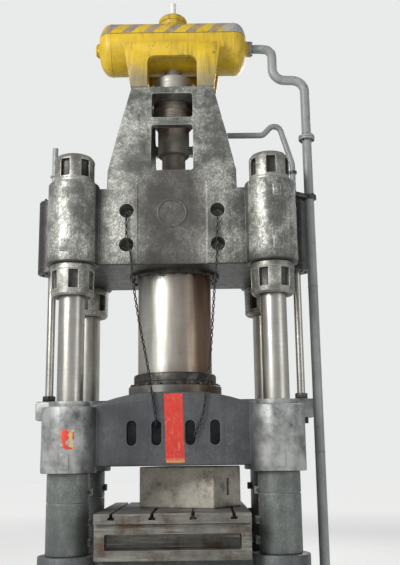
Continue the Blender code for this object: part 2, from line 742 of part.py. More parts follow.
def make_table():
    bottom = BED_HEIGHT - BED_CORE_DROP + GAP
    half_width, half_depth = TABLE_WIDTH / 2, TABLE_DEPTH / 2
    top = bottom + TABLE_HEIGHT
    table = add_piece("tool_table", box_mesh("tool_table", (-half_width, -half_depth, bottom),
                                             (half_width, half_depth, top)), "plate_steel")
    reach = half_depth - BED_DEPTH / 2 - TABLE_WALL
    for where, side in SIDES.items():
        ends = sorted((side * (half_depth + OVERRUN), side * (half_depth - reach)))
        hollow = box_mesh("table_pocket", (-half_width + TABLE_WALL, ends[0], bottom + TABLE_WALL),
                          (half_width - TABLE_WALL, ends[1], top - TABLE_WALL))
        cut(table, add_tool("table_pocket_" + where, hollow))
    plate_bottom = top + GAP
    plate_top = plate_bottom + BOLSTER_HEIGHT
    half_plate = half_depth + BOLSTER_OVERHANG
    bolster = add_piece("bolster_plate", box_mesh("bolster_plate", (-half_width, -half_plate, plate_bottom),
                                                  (half_width, half_plate, plate_top)), "plate_steel")
    slots = bmesh.new()
    for share in T_SLOT_PLACE_SHARES:
        x = share * TABLE_WIDTH
        head_top = plate_top - T_SLOT_DEPTH + T_SLOT_HEAD_HEIGHT
        outline = [
            (x - T_SLOT_HEAD / 2, plate_top - T_SLOT_DEPTH),
            (x + T_SLOT_HEAD / 2, plate_top - T_SLOT_DEPTH),
            (x + T_SLOT_HEAD / 2, head_top),
            (x + T_SLOT_NECK / 2, head_top),
            (x + T_SLOT_NECK / 2, plate_top + OVERRUN),
            (x - T_SLOT_NECK / 2, plate_top + OVERRUN),
            (x - T_SLOT_NECK / 2, head_top),
            (x - T_SLOT_HEAD / 2, head_top),
        ]
        slots.from_mesh(outline_mesh("t_slot", outline, 2 * (half_plate + OVERRUN)))
    cut(bolster, add_tool("t_slots", mesh_of(slots, "t_slots")))
    return plate_top


def make_die(seat):
    bm = bmesh.new()
    bmesh.ops.create_cube(bm, size=1.0, matrix=Matrix.Diagonal((DIE_LENGTH, DIE_WIDTH, DIE_HEIGHT, 1.0)))
    bmesh.ops.bevel(bm, geom=list(bm.edges), offset=DIE_EDGE, segments=1, affect="EDGES")
    die = add_piece("lower_die", mesh_of(bm, "lower_die"), "plate_steel",
                    (DIE_X, DIE_Y, seat + GAP + DIE_HEIGHT / 2))
    die.rotation_euler.z = DIE_TURN
    slot = outline_mesh("die_slot", rounded_box(0.0, 0.0, DIE_SLOT_WIDTH, DIE_SLOT_HEIGHT,
                                                DIE_SLOT_WIDTH / 2), DIE_SLOT_DEPTH + OVERRUN, "X")
    tool = add_tool("die_slot", slot, (DIE_LENGTH / 2 - DIE_SLOT_DEPTH / 2 + OVERRUN / 2, 0.0, 0.0))
    tool.parent = die
    cut(die, tool)


# Moving crosshead with its plunger
def half_outline(widths, levels):
    """Both halves of a top outline, from the right foot over the middle to the left foot."""
    right = list(zip(reversed(widths), reversed(levels)))
    left = [(-width, level) for width, level in reversed(right)]
    return right + left


def make_moving_crosshead():
    half_depth = CROSSHEAD_DEPTH / 2
    widths = [share * HALF_X for share in CROSSHEAD_TOP_WIDTH_SHARES]
    levels = [CROSSHEAD_UNDERSIDE + share * CROSSHEAD_HEIGHT for share in CROSSHEAD_TOP_HEIGHT_SHARES]
    outline = [(-widths[-1], CROSSHEAD_UNDERSIDE), (widths[-1], CROSSHEAD_UNDERSIDE)]
    outline += half_outline(widths, levels)
    beam = add_piece("moving_crosshead", outline_mesh("moving_crosshead", outline, CROSSHEAD_DEPTH),
                     "dark_cast_steel")
    half_side = HALF_X + CROSSHEAD_SIDE_REACH
    lug_top = CROSSHEAD_TOP - LUG_DROP
    side = box_mesh("crosshead_side",
                    (-half_side, -CROSSHEAD_SIDE_DEPTH / 2, CROSSHEAD_UNDERSIDE + CROSSHEAD_SIDE_INSET),
                    (half_side, CROSSHEAD_SIDE_DEPTH / 2, levels[-1] - CROSSHEAD_SIDE_INSET))
    join(beam, add_tool("crosshead_side", side))
    lug_end = RETURN_X + LUG_REACH
    lugs = rounded([(-lug_end, lug_top - LUG_HEIGHT, 0.0), (lug_end, lug_top - LUG_HEIGHT, 0.0),
                    (lug_end, lug_top, 0.0), (-lug_end, lug_top, 0.0)])
    join(beam, add_tool("crosshead_lugs", outline_mesh("crosshead_lugs", lugs, LUG_WIDTH)))
    boss_top = CROSSHEAD_BASE + CROSSHEAD_BOSS_HEIGHT
    collar_top = boss_top + CROSSHEAD_COLLAR_HEIGHT
    for where, place in COLUMN_PLACES.items():
        boss = boss_mesh("crosshead_boss", CROSSHEAD_BOSS_RADIUS, CROSSHEAD_BASE, boss_top, CROSSHEAD_EDGE, place)
        join(beam, add_tool("crosshead_boss_" + where, boss))
        collar = drum_mesh("crosshead_collar", CROSSHEAD_COLLAR_RADIUS, boss_top - CROSSHEAD_COLLAR_HEIGHT,
                           collar_top, COLUMN_SIDES, place)
        join(beam, add_tool("crosshead_collar_" + where, collar))
    pad_low = CROSSHEAD_BASE + CROSSHEAD_PAD_RISE
    for where, side_sign in SIDES.items():
        x = side_sign * HALF_X
        face = -HALF_Y - CROSSHEAD_BOSS_RADIUS
        pad = box_mesh("pad", (x - CROSSHEAD_PAD_WIDTH / 2, face - PAD_PROUD, pad_low),
                       (x + CROSSHEAD_PAD_WIDTH / 2, face + CROSSHEAD_PAD_WIDTH,
                        pad_low + CROSSHEAD_PAD_HEIGHT))
        join(beam, add_tool("crosshead_pad_" + where, pad))
    for where, (x, y) in COLUMN_PLACES.items():
        bore = drum_mesh("crosshead_bore", COLUMN_RADIUS + GAP + BUSH_WALL + GAP, CROSSHEAD_BASE - OVERRUN,
                         collar_top + OVERRUN, COLUMN_SIDES, (x, y))
        cut(beam, add_tool("crosshead_bore_" + where, bore))
        turned("column_bush_" + where,
               ring_profile(COLUMN_RADIUS + GAP, COLUMN_RADIUS + GAP + BUSH_WALL, CROSSHEAD_BASE, collar_top),
               "bronze", (x, y, 0.0), COLUMN_SIDES)
    slot_level = CROSSHEAD_UNDERSIDE + SLOT_RISE
    slots = bmesh.new()
    for x in (-SLOT_OUTER_X, -SLOT_INNER_X, SLOT_INNER_X, SLOT_OUTER_X):
        outline = rounded_box(x, slot_level, SLOT_WIDTH, SLOT_HEIGHT, SLOT_WIDTH / 2)
        for y_side in SIDES.values():
            slot = outline_mesh("slot", outline, SLOT_DEPTH + OVERRUN)
            slot.transform(Matrix.Translation((0.0, y_side * (half_depth + (OVERRUN - SLOT_DEPTH) / 2), 0.0)))
            slots.from_mesh(slot)
    cut(beam, add_tool("crosshead_slots", mesh_of(slots, "crosshead_slots")))
    for where, side_sign in SIDES.items():
        hole = drum_mesh("lug_hole", ROD_RADIUS + GAP, lug_top - LUG_HEIGHT - OVERRUN, lug_top + OVERRUN,
                         ROD_SIDES, (side_sign * RETURN_X, 0.0))
        cut(beam, add_tool("lug_hole_" + where, hole))
    return lug_top


def make_plunger():
    flange_top = PLUNGER_SEAT + PLUNGER_FLANGE_HEIGHT
    turned("plunger", [
        (0.0, PLUNGER_TOP),
        (PLUNGER_RADIUS - PLUNGER_CHAMFER, PLUNGER_TOP),
        (PLUNGER_RADIUS, PLUNGER_TOP - PLUNGER_CHAMFER),
        (PLUNGER_RADIUS, flange_top),
        (PLUNGER_FLANGE_RADIUS, flange_top),
        (PLUNGER_FLANGE_RADIUS, PLUNGER_SEAT),
        (0.0, PLUNGER_SEAT),
    ], "ground_steel")
    ring_bottom = flange_top + GAP
    turned("plunger_retainer", ring_profile(PLUNGER_RADIUS + GAP, RETAINER_RADIUS, ring_bottom,
                                            ring_bottom + RETAINER_HEIGHT, RETAINER_CHAMFER),
           "dark_cast_steel")


# Upper crosshead with its tower
def tower_sections(inset, root, roof):
    """Tower loops from its root to its roof, drawn in by the wall thickness."""
    foot, top = TOWER_FOOT_WIDTH / 2, TOWER_TOP_WIDTH / 2
    depth, top_depth = UPPER_DEPTH / 2, TOWER_TOP_DEPTH / 2
    knee = UPPER_TOP + TOWER_HEIGHT * TOWER_KNEE_SHARE
    waist = UPPER_TOP + TOWER_HEIGHT * TOWER_WAIST_SHARE

    def depth_at(level):
        share = max(0.0, (level - UPPER_TOP) / TOWER_HEIGHT)
        return depth + (top_depth - depth) * share

    def width_at(level):
        waist_width = foot + (top - foot) * TOWER_WAIST_WIDTH_SHARE
        if level <= knee:
            return foot
        if level <= waist:
            return foot + (waist_width - foot) * (level - knee) / (waist - knee)
        return waist_width + (top - waist_width) * (level - waist) / (TOWER_TOP - waist)

    levels = [root] + [level for level in (UPPER_TOP, knee, waist) if root < level < roof] + [roof]
    return [block_section(width_at(level) - inset, depth_at(level) - inset, level) for level in levels]


def window_tool(name, width, bottom, height, facing):
    outline = rounded_box(0.0, bottom + height / 2, width, height, WINDOW_CORNER)
    length = UPPER_DEPTH + OVERRUN if facing == "Y" else TOWER_FOOT_WIDTH + OVERRUN
    return add_tool(name, outline_mesh(name, outline, length, facing))


def make_upper_crosshead():
    half_beam = HALF_X - UPPER_BEAM_INSET
    half_depth = UPPER_DEPTH / 2
    beam = add_piece("upper_crosshead",
                     box_mesh("upper_crosshead", (-half_beam, -half_depth, UPPER_UNDERSIDE),
                              (half_beam, half_depth, UPPER_TOP)), "cast_steel")
    floor = UPPER_TOP + LOW_WINDOW_RISE
    root = loft_mesh("tower_root", tower_sections(0.0, UPPER_TOP - TOWER_ROOT, floor))
    join(beam, add_tool("tower_root", root))
    half_side = HALF_X + UPPER_SIDE_REACH
    side = box_mesh("upper_side", (-half_side, -UPPER_SIDE_DEPTH / 2, UPPER_UNDERSIDE + UPPER_SIDE_INSET),
                    (half_side, UPPER_SIDE_DEPTH / 2, UPPER_TOP - UPPER_SIDE_INSET))
    join(beam, add_tool("upper_side", side))
    for where, rise in (("low", EAR_LOW_RISE), ("high", EAR_HIGH_RISE)):
        ears = box_mesh("ears", (-RETURN_X, -EAR_DEPTH / 2, UPPER_BASE + rise),
                        (RETURN_X, EAR_DEPTH / 2, UPPER_BASE + rise + EAR_HEIGHT))
        join(beam, add_tool("return_ears_" + where, ears))
    boss_top = UPPER_BASE + UPPER_BOSS_HEIGHT
    for where, place in COLUMN_PLACES.items():
        boss = boss_mesh("upper_boss", UPPER_BOSS_RADIUS, UPPER_BASE, boss_top, UPPER_BOSS_EDGE, place)
        join(beam, add_tool("upper_boss_" + where, boss))
    face = -HALF_Y - UPPER_BOSS_RADIUS
    pads = (("low", LOW_PAD_WIDTH, LOW_PAD_HEIGHT, LOW_PAD_RISE),
            ("high", HIGH_PAD_WIDTH, HIGH_PAD_HEIGHT, HIGH_PAD_RISE))
    for side_name, side_sign in SIDES.items():
        for level_name, width, height, rise in pads:
            x = side_sign * (HALF_X + PAD_OUTBOARD)
            pad = box_mesh("pad", (x - width / 2, face - PAD_PROUD, UPPER_BASE + rise),
                           (x + width / 2, face + width, UPPER_BASE + rise + height))
            join(beam, add_tool("upper_pad_" + level_name + "_" + side_name, pad))
    panel = box_mesh("panel", (-PANEL_WIDTH / 2, -half_depth - OVERRUN, UPPER_UNDERSIDE - OVERRUN),
                     (PANEL_WIDTH / 2, -half_depth + PANEL_DEPTH, TOWER_TOP))
    cut(beam, add_tool("front_panel", panel))
    for where, place in COLUMN_PLACES.items():
        bore = drum_mesh("upper_bore", COLUMN_RADIUS + GAP, UPPER_BASE - OVERRUN, boss_top + OVERRUN,
                         COLUMN_SIDES, place)
        cut(beam, add_tool("upper_bore_" + where, bore))
    cylinder_room = turned_tool("cylinder_room", [
        (0.0, floor + OVERRUN),
        (CYLINDER_NECK_RADIUS + GAP, floor + OVERRUN),
        (CYLINDER_NECK_RADIUS + GAP, SHOULDER_LEVEL + GAP),
        (CYLINDER_RADIUS + GAP, SHOULDER_LEVEL + GAP),
        (CYLINDER_RADIUS + GAP, UPPER_UNDERSIDE - OVERRUN),
        (0.0, UPPER_UNDERSIDE - OVERRUN),
    ])
    cut(beam, cylinder_room)
    ports = bmesh.new()
    for x in (-PORT_X, PORT_X):
        for rise in (PORT_LOW_RISE, PORT_HIGH_RISE):
            for y_side in SIDES.values():
                ends = sorted((y_side * (half_depth + OVERRUN), y_side * (half_depth - PORT_DEPTH)))
                ports.from_mesh(drum_mesh("port", PORT_RADIUS, ends[0], ends[1], SMALL_SIDES,
                                          (x, UPPER_UNDERSIDE + rise), "Y"))
    cut(beam, add_tool("ports", mesh_of(ports, "ports")))
    for where, side_sign in SIDES.items():
        seat = drum_mesh("return_seat", RETURN_RADIUS + GAP, UPPER_BASE - OVERRUN, UPPER_TOP + OVERRUN,
                         ROD_SIDES, (side_sign * RETURN_X, 0.0))
        cut(beam, add_tool("return_seat_" + where, seat))


def make_tower():
    floor = UPPER_TOP + LOW_WINDOW_RISE
    tower = add_piece("crosshead_tower",
                      loft_mesh("crosshead_tower", tower_sections(0.0, floor + GAP, TOWER_TOP)), "cast_steel")
    cavity = loft_mesh("tower_cavity",
                       tower_sections(TOWER_WALL, floor - OVERRUN, TOWER_TOP - TOWER_ROOF))
    cut(tower, add_tool("tower_cavity", cavity))
    neck_hole = drum_mesh("neck_hole", VALVE_CAP_RADIUS + NECK_HOLE_ROOM, TOWER_TOP - TOWER_ROOF - OVERRUN,
                          TOWER_TOP + OVERRUN)
    cut(tower, add_tool("neck_hole", neck_hole))
    foot, low_height = floor - OVERRUN, LOW_WINDOW_HEIGHT + OVERRUN
    cut(tower, window_tool("low_window", WINDOW_WIDTH, foot, low_height, "Y"))
    high_floor = UPPER_TOP + HIGH_WINDOW_RISE
    cut(tower, window_tool("high_window", WINDOW_WIDTH, high_floor, HIGH_WINDOW_HEIGHT, "Y"))
    cut(tower, window_tool("side_window", SIDE_WINDOW_WIDTH, foot, low_height, "X"))


# Main cylinder and filling valve
def make_main_cylinder():
    bottom = UPPER_UNDERSIDE
    bush_top = bottom + BUSH_LENGTH
    packing_top = bush_top + GAP + PACKING_LENGTH
    bore = PLUNGER_RADIUS + BORE_CLEARANCE
    turned("main_cylinder", [
        (CROWN_TOP_RADIUS, CROWN_TOP),
        (CYLINDER_NECK_RADIUS, CROWN_BASE),
        (CYLINDER_NECK_RADIUS, SHOULDER_LEVEL),
        (CYLINDER_RADIUS, SHOULDER_LEVEL),
        (CYLINDER_RADIUS, bottom),
        (BUSH_RADIUS + GAP, bottom),
        (BUSH_RADIUS + GAP, packing_top + GAP),
        (bore, packing_top + GAP),
        (bore, BORE_TOP),
        (VALVE_PORT_RADIUS, BORE_TOP),
        (VALVE_PORT_RADIUS, CROWN_TOP),
    ], "dark_cast_steel")
    turned("cylinder_bush", ring_profile(PLUNGER_RADIUS + GAP, BUSH_RADIUS, bottom, bush_top - GAP), "bronze")
    turned("cylinder_packing", ring_profile(PLUNGER_RADIUS + GAP, BUSH_RADIUS, bush_top, packing_top),
           "packing")
    turned("gland_ring", ring_profile(PLUNGER_RADIUS + GAP, GLAND_RADIUS, bottom - GAP - GLAND_HEIGHT,
                                      bottom - GAP), "dark_cast_steel")


def make_filling_valve():
    base = VALVE_BASE
    flange_bottom = base + VALVE_FLANGE_RISE
    flange_top = flange_bottom + VALVE_FLANGE_HEIGHT
    cap_top = base + VALVE_CAP_RISE
    neck_top = base + VALVE_NECK_HEIGHT
    stub_wall = VALVE_STUB_RADIUS - VALVE_EDGE
    body = turned("filling_valve_body", [
        (VALVE_STUB_RADIUS, TANK_AXIS),
        (VALVE_STUB_RADIUS, cap_top),
        (VALVE_CAP_RADIUS - VALVE_EDGE, cap_top),
        (VALVE_CAP_RADIUS, cap_top - VALVE_EDGE),
        (VALVE_CAP_RADIUS, flange_top),
        (VALVE_FLANGE_RADIUS, flange_top),
        (VALVE_FLANGE_RADIUS, flange_bottom),
        (VALVE_BODY_RADIUS, flange_bottom),
        (VALVE_BODY_RADIUS, neck_top),
        (VALVE_NECK_RADIUS, neck_top - VALVE_EDGE),
        (VALVE_NECK_RADIUS, base + VALVE_BASE_HEIGHT),
        (VALVE_BASE_RADIUS, base + VALVE_BASE_HEIGHT),
        (VALVE_BASE_RADIUS, base),
        (stub_wall, base),
        (stub_wall, TANK_AXIS),
    ], "grey_enamel")
    tank_room = drum_mesh("tank_room", TANK_RADIUS + GAP, -TANK_LENGTH / 2, TANK_LENGTH / 2,
                          centre=(0.0, TANK_AXIS), axis="X")
    cut(body, add_tool("valve_tank_room", tank_room))


# Tank on its cradle
def dome_profile(radius, half_length, steps):
    """The tank's side from its right end's middle to the left end's, along its own axis."""
    straight = half_length - TANK_DOME
    right = []
    for step in range(steps + 1):
        angle = math.pi / 2 * step / steps
        right.append((TANK_FACE_RADIUS + (radius - TANK_FACE_RADIUS) * math.sin(angle),
                      straight + TANK_DOME * math.cos(angle)))
    left = [(r, -z) for r, z in reversed(right)]
    return right + left


def make_tank():
    outer = dome_profile(TANK_RADIUS, TANK_LENGTH / 2, DOME_STEPS)
    profile = [(0.0, TANK_LENGTH / 2)] + outer + [(0.0, -TANK_LENGTH / 2)]
    tank = turned("tank", profile, "yellow_enamel", (0.0, 0.0, TANK_AXIS))
    tank.rotation_euler.y = math.pi / 2
    nozzle = drum_mesh("tank_nozzle", SUPPLY_NOZZLE_RADIUS, SUPPLY_ENTRY_X - SUPPLY_NOZZLE_ROOT,
                       SUPPLY_ENTRY_X, SMALL_SIDES, (0.0, TANK_AXIS), "X")
    join(tank, add_tool("tank_nozzle", nozzle))
    inner = dome_profile(TANK_RADIUS, TANK_LENGTH / 2 - 2 * TANK_SHELL, INNER_DOME_STEPS)
    inside = [(r - TANK_SHELL, z) for r, z in inner]
    room = turned_tool("tank_inside", [(0.0, inside[0][1])] + inside + [(0.0, inside[-1][1])],
                       (0.0, 0.0, TANK_AXIS))
    room.rotation_euler.y = math.pi / 2
    cut(tank, room)
    bore = SUPPLY_RADIUS - VENT_WALL
    cut(tank, add_tool("nozzle_bore", drum_mesh("nozzle_bore", bore, 0.0, SUPPLY_ENTRY_X + OVERRUN,
                                                SMALL_SIDES, (0.0, TANK_AXIS), "X")))
    outlet = drum_mesh("tank_outlet", VALVE_STUB_RADIUS - VALVE_EDGE, TANK_AXIS - TANK_RADIUS - OVERRUN,
                       TANK_AXIS, SMALL_SIDES)
    cut(tank, add_tool("tank_outlet", outlet))
    vent = drum_mesh("tank_vent_hole", VENT_RADIUS - VENT_WALL, TANK_AXIS, TANK_AXIS + MANHOLE_RISE,
                     SMALL_SIDES)
    cut(tank, add_tool("tank_vent_hole", vent))
    cover = turned("tank_end_cover", [
        (0.0, END_COVER_LENGTH),
        (END_COVER_RADIUS - END_COVER_STEP, END_COVER_LENGTH),
        (END_COVER_RADIUS - END_COVER_STEP, END_COVER_STEP),
        (END_COVER_RADIUS, END_COVER_STEP),
        (END_COVER_RADIUS, 0.0),
        (0.0, 0.0),
    ], "yellow_enamel", (-TANK_LENGTH / 2 - GAP, 0.0, TANK_AXIS), SMALL_SIDES)
    cover.rotation_euler.y = -math.pi / 2
    manhole = turned("tank_manhole", [
        (VENT_RADIUS, TANK_AXIS + MANHOLE_RISE),
        (MANHOLE_RADIUS * POCKET_HEIGHT_SHARE, TANK_AXIS + MANHOLE_RISE),
        (MANHOLE_RADIUS, TANK_AXIS + MANHOLE_EDGE_RISE),
        (MANHOLE_RADIUS, TANK_AXIS),
        (VENT_RADIUS - VENT_WALL, TANK_AXIS),
        (VENT_RADIUS - VENT_WALL, TANK_AXIS + MANHOLE_EDGE_RISE),
        (VENT_RADIUS, TANK_AXIS + MANHOLE_EDGE_RISE),
    ], "yellow_enamel", sides=SMALL_SIDES)
    top_room = drum_mesh("manhole_tank_room", TANK_RADIUS + GAP, -TANK_LENGTH / 2, TANK_LENGTH / 2,
                         centre=(0.0, TANK_AXIS), axis="X")
    cut(manhole, add_tool("manhole_tank_room", top_room))
    vent_bottom = TANK_AXIS + MANHOLE_EDGE_RISE + GAP
    turned("vent_pipe", ring_profile(VENT_RADIUS - VENT_WALL, VENT_RADIUS - GAP, vent_bottom,
                                     vent_bottom + MANHOLE_RISE - MANHOLE_EDGE_RISE + VENT_LENGTH),
           "white_enamel", sides=SMALL_SIDES)


def make_cradle():
    base = TOWER_TOP + GAP
    top = base + CRADLE_HEIGHT
    sections = [block_section(CRADLE_FOOT_WIDTH / 2, CRADLE_DEPTH / 2, base),
                block_section(CRADLE_TOP_WIDTH / 2, CRADLE_DEPTH / 2, top)]
    cradle = add_piece("tank_cradle", loft_mesh("tank_cradle", sections), "yellow_enamel")
    arch = rounded([(-ARCH_WIDTH / 2, base - OVERRUN, 0.0), (ARCH_WIDTH / 2, base - OVERRUN, 0.0),
                    (ARCH_WIDTH / 2, base + ARCH_HEIGHT, ARCH_CORNER),
                    (-ARCH_WIDTH / 2, base + ARCH_HEIGHT, ARCH_CORNER)])
    cut(cradle, add_tool("cradle_arch", outline_mesh("cradle_arch", arch, CRADLE_DEPTH + OVERRUN)))
    tank_room = drum_mesh("cradle_tank_room", TANK_RADIUS + GAP, -CRADLE_TOP_WIDTH, CRADLE_TOP_WIDTH,
                          centre=(0.0, TANK_AXIS), axis="X")
    cut(cradle, add_tool("cradle_tank_room", tank_room))
    web_start = ARCH_WIDTH / 2 + ARCH_LIP
    between = box_mesh("cradle_middle", (-web_start, CRADLE_PLATE - CRADLE_DEPTH / 2, base - OVERRUN),
                       (web_start, CRADLE_DEPTH / 2 - CRADLE_PLATE, top + OVERRUN))
    cut(cradle, add_tool("cradle_middle", between))
    for where, side_sign in SIDES.items():
        ends = sorted((side_sign * (web_start + CRADLE_WEB), side_sign * CRADLE_TOP_WIDTH))
        pocket = box_mesh("cradle_pocket", (ends[0], CRADLE_PLATE - CRADLE_DEPTH / 2, base + CRADLE_WEB),
                          (ends[1], CRADLE_DEPTH / 2 - CRADLE_PLATE, top + OVERRUN))
        cut(cradle, add_tool("cradle_pocket_" + where, pocket))


# Return cylinders and rods
def make_return_gear(lug_top):
    inner_bottom = RETURN_BASE + RETURN_CAP
    inner_top = RETURN_TOP - RETURN_CAP
    piston_bottom = inner_bottom + GAP
    for where, side_sign in SIDES.items():
        place = (side_sign * RETURN_X, 0.0, 0.0)
        turned("return_cylinder_" + where, [
            (RETURN_RADIUS, RETURN_TOP),
            (RETURN_RADIUS, RETURN_BASE),
            (ROD_RADIUS + GAP, RETURN_BASE),
            (ROD_RADIUS + GAP, inner_bottom),
            (RETURN_BORE, inner_bottom),
            (RETURN_BORE, inner_top),
            (RETURN_PIPE_RADIUS - VENT_WALL, inner_top),
            (RETURN_PIPE_RADIUS - VENT_WALL, RETURN_TOP),
        ], "dark_cast_steel", place, ROD_SIDES)
        rod_foot = lug_top - LUG_HEIGHT - GAP - ROD_NUT_HEIGHT
        turned("return_rod_" + where, [
            (0.0, piston_bottom + PISTON_HEIGHT),
            (RETURN_BORE - GAP, piston_bottom + PISTON_HEIGHT),
            (RETURN_BORE - GAP, piston_bottom),
            (ROD_RADIUS, piston_bottom),
            (ROD_RADIUS, rod_foot),
            (0.0, rod_foot),
        ], "ground_steel", place, ROD_SIDES)
        for level_name, bottom in (("upper", lug_top + GAP),
                                   ("lower", lug_top - LUG_HEIGHT - GAP - ROD_NUT_HEIGHT)):
            name = "rod_nut_" + level_name + "_" + where
            nut = add_piece(name, drum_mesh(name, ROD_NUT_RADIUS, bottom, bottom + ROD_NUT_HEIGHT, HEX_SIDES),
                            "dark_cast_steel", place)
            bore = drum_mesh("rod_nut_bore", ROD_RADIUS + GAP, bottom - OVERRUN,
                             bottom + ROD_NUT_HEIGHT + OVERRUN, ROD_SIDES)
            cut(nut, add_tool(name + "_bore", bore, place))


# Pipes
def make_return_pipes():
    foot = RETURN_TOP + GAP
    ring = RETURN_TOP + STUB_RING_RISE
    turned("return_pipe_left", [
        (0.0, RETURN_TOP + STUB_PIPE_LENGTH),
        (RETURN_PIPE_RADIUS, RETURN_TOP + STUB_PIPE_LENGTH),
        (RETURN_PIPE_RADIUS, ring + STUB_RING_HEIGHT),
        (STUB_RING_RADIUS, ring + STUB_RING_HEIGHT),
        (STUB_RING_RADIUS, ring),
        (RETURN_PIPE_RADIUS, ring),
        (RETURN_PIPE_RADIUS, foot),
        (0.0, foot),
    ], "grey_enamel", (-RETURN_X, 0.0, 0.0), SMALL_SIDES)
    corners = [(RETURN_X, 0.0, foot),
               (RETURN_X, 0.0, RETURN_TOP + HOOK_STEM),
               (RETURN_X - HOOK_PEAK_REACH, 0.0, RETURN_TOP + HOOK_PEAK),
               (RETURN_X - HOOK_END_REACH, 0.0, RETURN_TOP + HOOK_END),
               (TOWER_TOP_WIDTH / 2, 0.0, RETURN_TOP + HOOK_END)]
    hook = add_piece("return_pipe_right", tube_mesh("return_pipe_right", bent_route(corners, HOOK_BEND),
                                                    RETURN_PIPE_RADIUS), "grey_enamel")
    flank = loft_mesh("hook_tower_room", tower_sections(-GAP, UPPER_TOP, TOWER_TOP))
    cut(hook, add_tool("hook_tower_room", flank))


def make_supply_pipe():
    run = TANK_AXIS - SUPPLY_RUN_DROP
    face = SUPPLY_ENTRY_X + GAP
    corners = [(SUPPLY_X, SUPPLY_Y, 0.0), (SUPPLY_X, SUPPLY_Y, run), (SUPPLY_RISER_X, SUPPLY_RISER_Y, run),
               (SUPPLY_RISER_X, SUPPLY_RISER_Y, TANK_AXIS - SUPPLY_RISER_DROP),
               (SUPPLY_TURN_X, 0.0, TANK_AXIS), (face, 0.0, TANK_AXIS)]
    pipe = add_piece("supply_pipe", tube_mesh("supply_pipe", bent_route(corners, SUPPLY_BEND), SUPPLY_RADIUS),
                     "grey_enamel")
    end = drum_mesh("supply_end_flange", SUPPLY_FLANGE_RADIUS, face, face + SUPPLY_FLANGE_LENGTH,
                    SMALL_SIDES, (0.0, TANK_AXIS), "X")
    join(pipe, add_tool("supply_end_flange", end))
    joint = drum_mesh("supply_joint", SUPPLY_FLANGE_RADIUS, SUPPLY_JOINT_LEVEL,
                      SUPPLY_JOINT_LEVEL + SUPPLY_FLANGE_LENGTH, SMALL_SIDES, (SUPPLY_X, SUPPLY_Y))
    join(pipe, add_tool("supply_joint", joint))


def make_supply_bracket():
    """A flat arm from the front right boss with an eye round the supply pipe."""
    bottom = UPPER_BASE + BRACKET_RISE
    top = bottom + BRACKET_HEIGHT
    eye = SUPPLY_RADIUS + GAP + BRACKET_WALL
    bracket = add_piece("supply_bracket", drum_mesh("supply_bracket", eye, bottom, top, SMALL_SIDES,
                                                    (SUPPLY_X, SUPPLY_Y)), "dark_cast_steel")
    start, end = Vector(COLUMN_PLACES["front_right"]), Vector((SUPPLY_X, SUPPLY_Y))
    along = end - start
    arm = box_mesh("bracket_arm", (0.0, -BRACKET_WIDTH / 2, bottom), (along.length, BRACKET_WIDTH / 2, top))
    arm.transform(Matrix.Rotation(math.atan2(along.y, along.x), 4, "Z"))
    join(bracket, add_tool("bracket_arm", arm, (*start, 0.0)))
    cut(bracket, add_tool("bracket_boss_room", drum_mesh("bracket_boss_room", UPPER_BOSS_RADIUS + GAP,
                                                         bottom - OVERRUN, top + OVERRUN,
                                                         centre=start)))
    cut(bracket, add_tool("bracket_eye", drum_mesh("bracket_eye", SUPPLY_RADIUS + GAP, bottom - OVERRUN,
                                                   top + OVERRUN, SMALL_SIDES, (SUPPLY_X, SUPPLY_Y))))


# Chains
def chain_route(where, side_sign):
    """From inside the upper port, over its lip, down the front and into the inner slot."""
    front = -UPPER_DEPTH / 2 - CHAIN_ARC
    top = UPPER_UNDERSIDE + PORT_HIGH_RISE - PORT_RADIUS + CHAIN_WIDTH / 2 + CHAIN_ROOM
    drop = top - CROSSHEAD_UNDERSIDE - SLOT_RISE

    def hang(shares):
        down, across = shares
        return Vector((side_sign * (PORT_X + (SLOT_INNER_X - PORT_X) * across), front, top - drop * down))

    start = Vector((side_sign * PORT_X, front, top))
    end = hang(CHAIN_END_SHARES[where])
    line = smooth_line([hang(shares) for shares in CHAIN_HANG_SHARES[where]], CHAIN_LINE_STEPS)
    corners = [start + Vector((0.0, CHAIN_ARC + PORT_DEPTH - GAP, 0.0)), start, *line, end,
               end + Vector((0.0, CHAIN_ARC + SLOT_DEPTH - GAP, 0.0))]
    return bent_route(corners, CHAIN_ARC / 2, CHAIN_BEND_STEPS)


def make_chains():
    for where, side_sign in SIDES.items():
        chain = tube_mesh("chain", chain_route(where, side_sign), CHAIN_WIDTH / 2)
        add_piece("chain_" + where, chain, "chain_steel")


make_bed()
make_columns()
make_nuts()
make_sleeves()
make_die(make_table())
rod_seat = make_moving_crosshead()
make_plunger()
make_upper_crosshead()
make_tower()
make_main_cylinder()
make_filling_valve()
make_tank()
make_cradle()
make_return_gear(rod_seat)
make_return_pipes()
make_supply_pipe()
make_supply_bracket()
make_chains()
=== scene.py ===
"""Visible pieces, finishes and stage of a four-column hydraulic forging press."""
import functools
import math

import bpy
from mathutils import Euler, Matrix, Vector


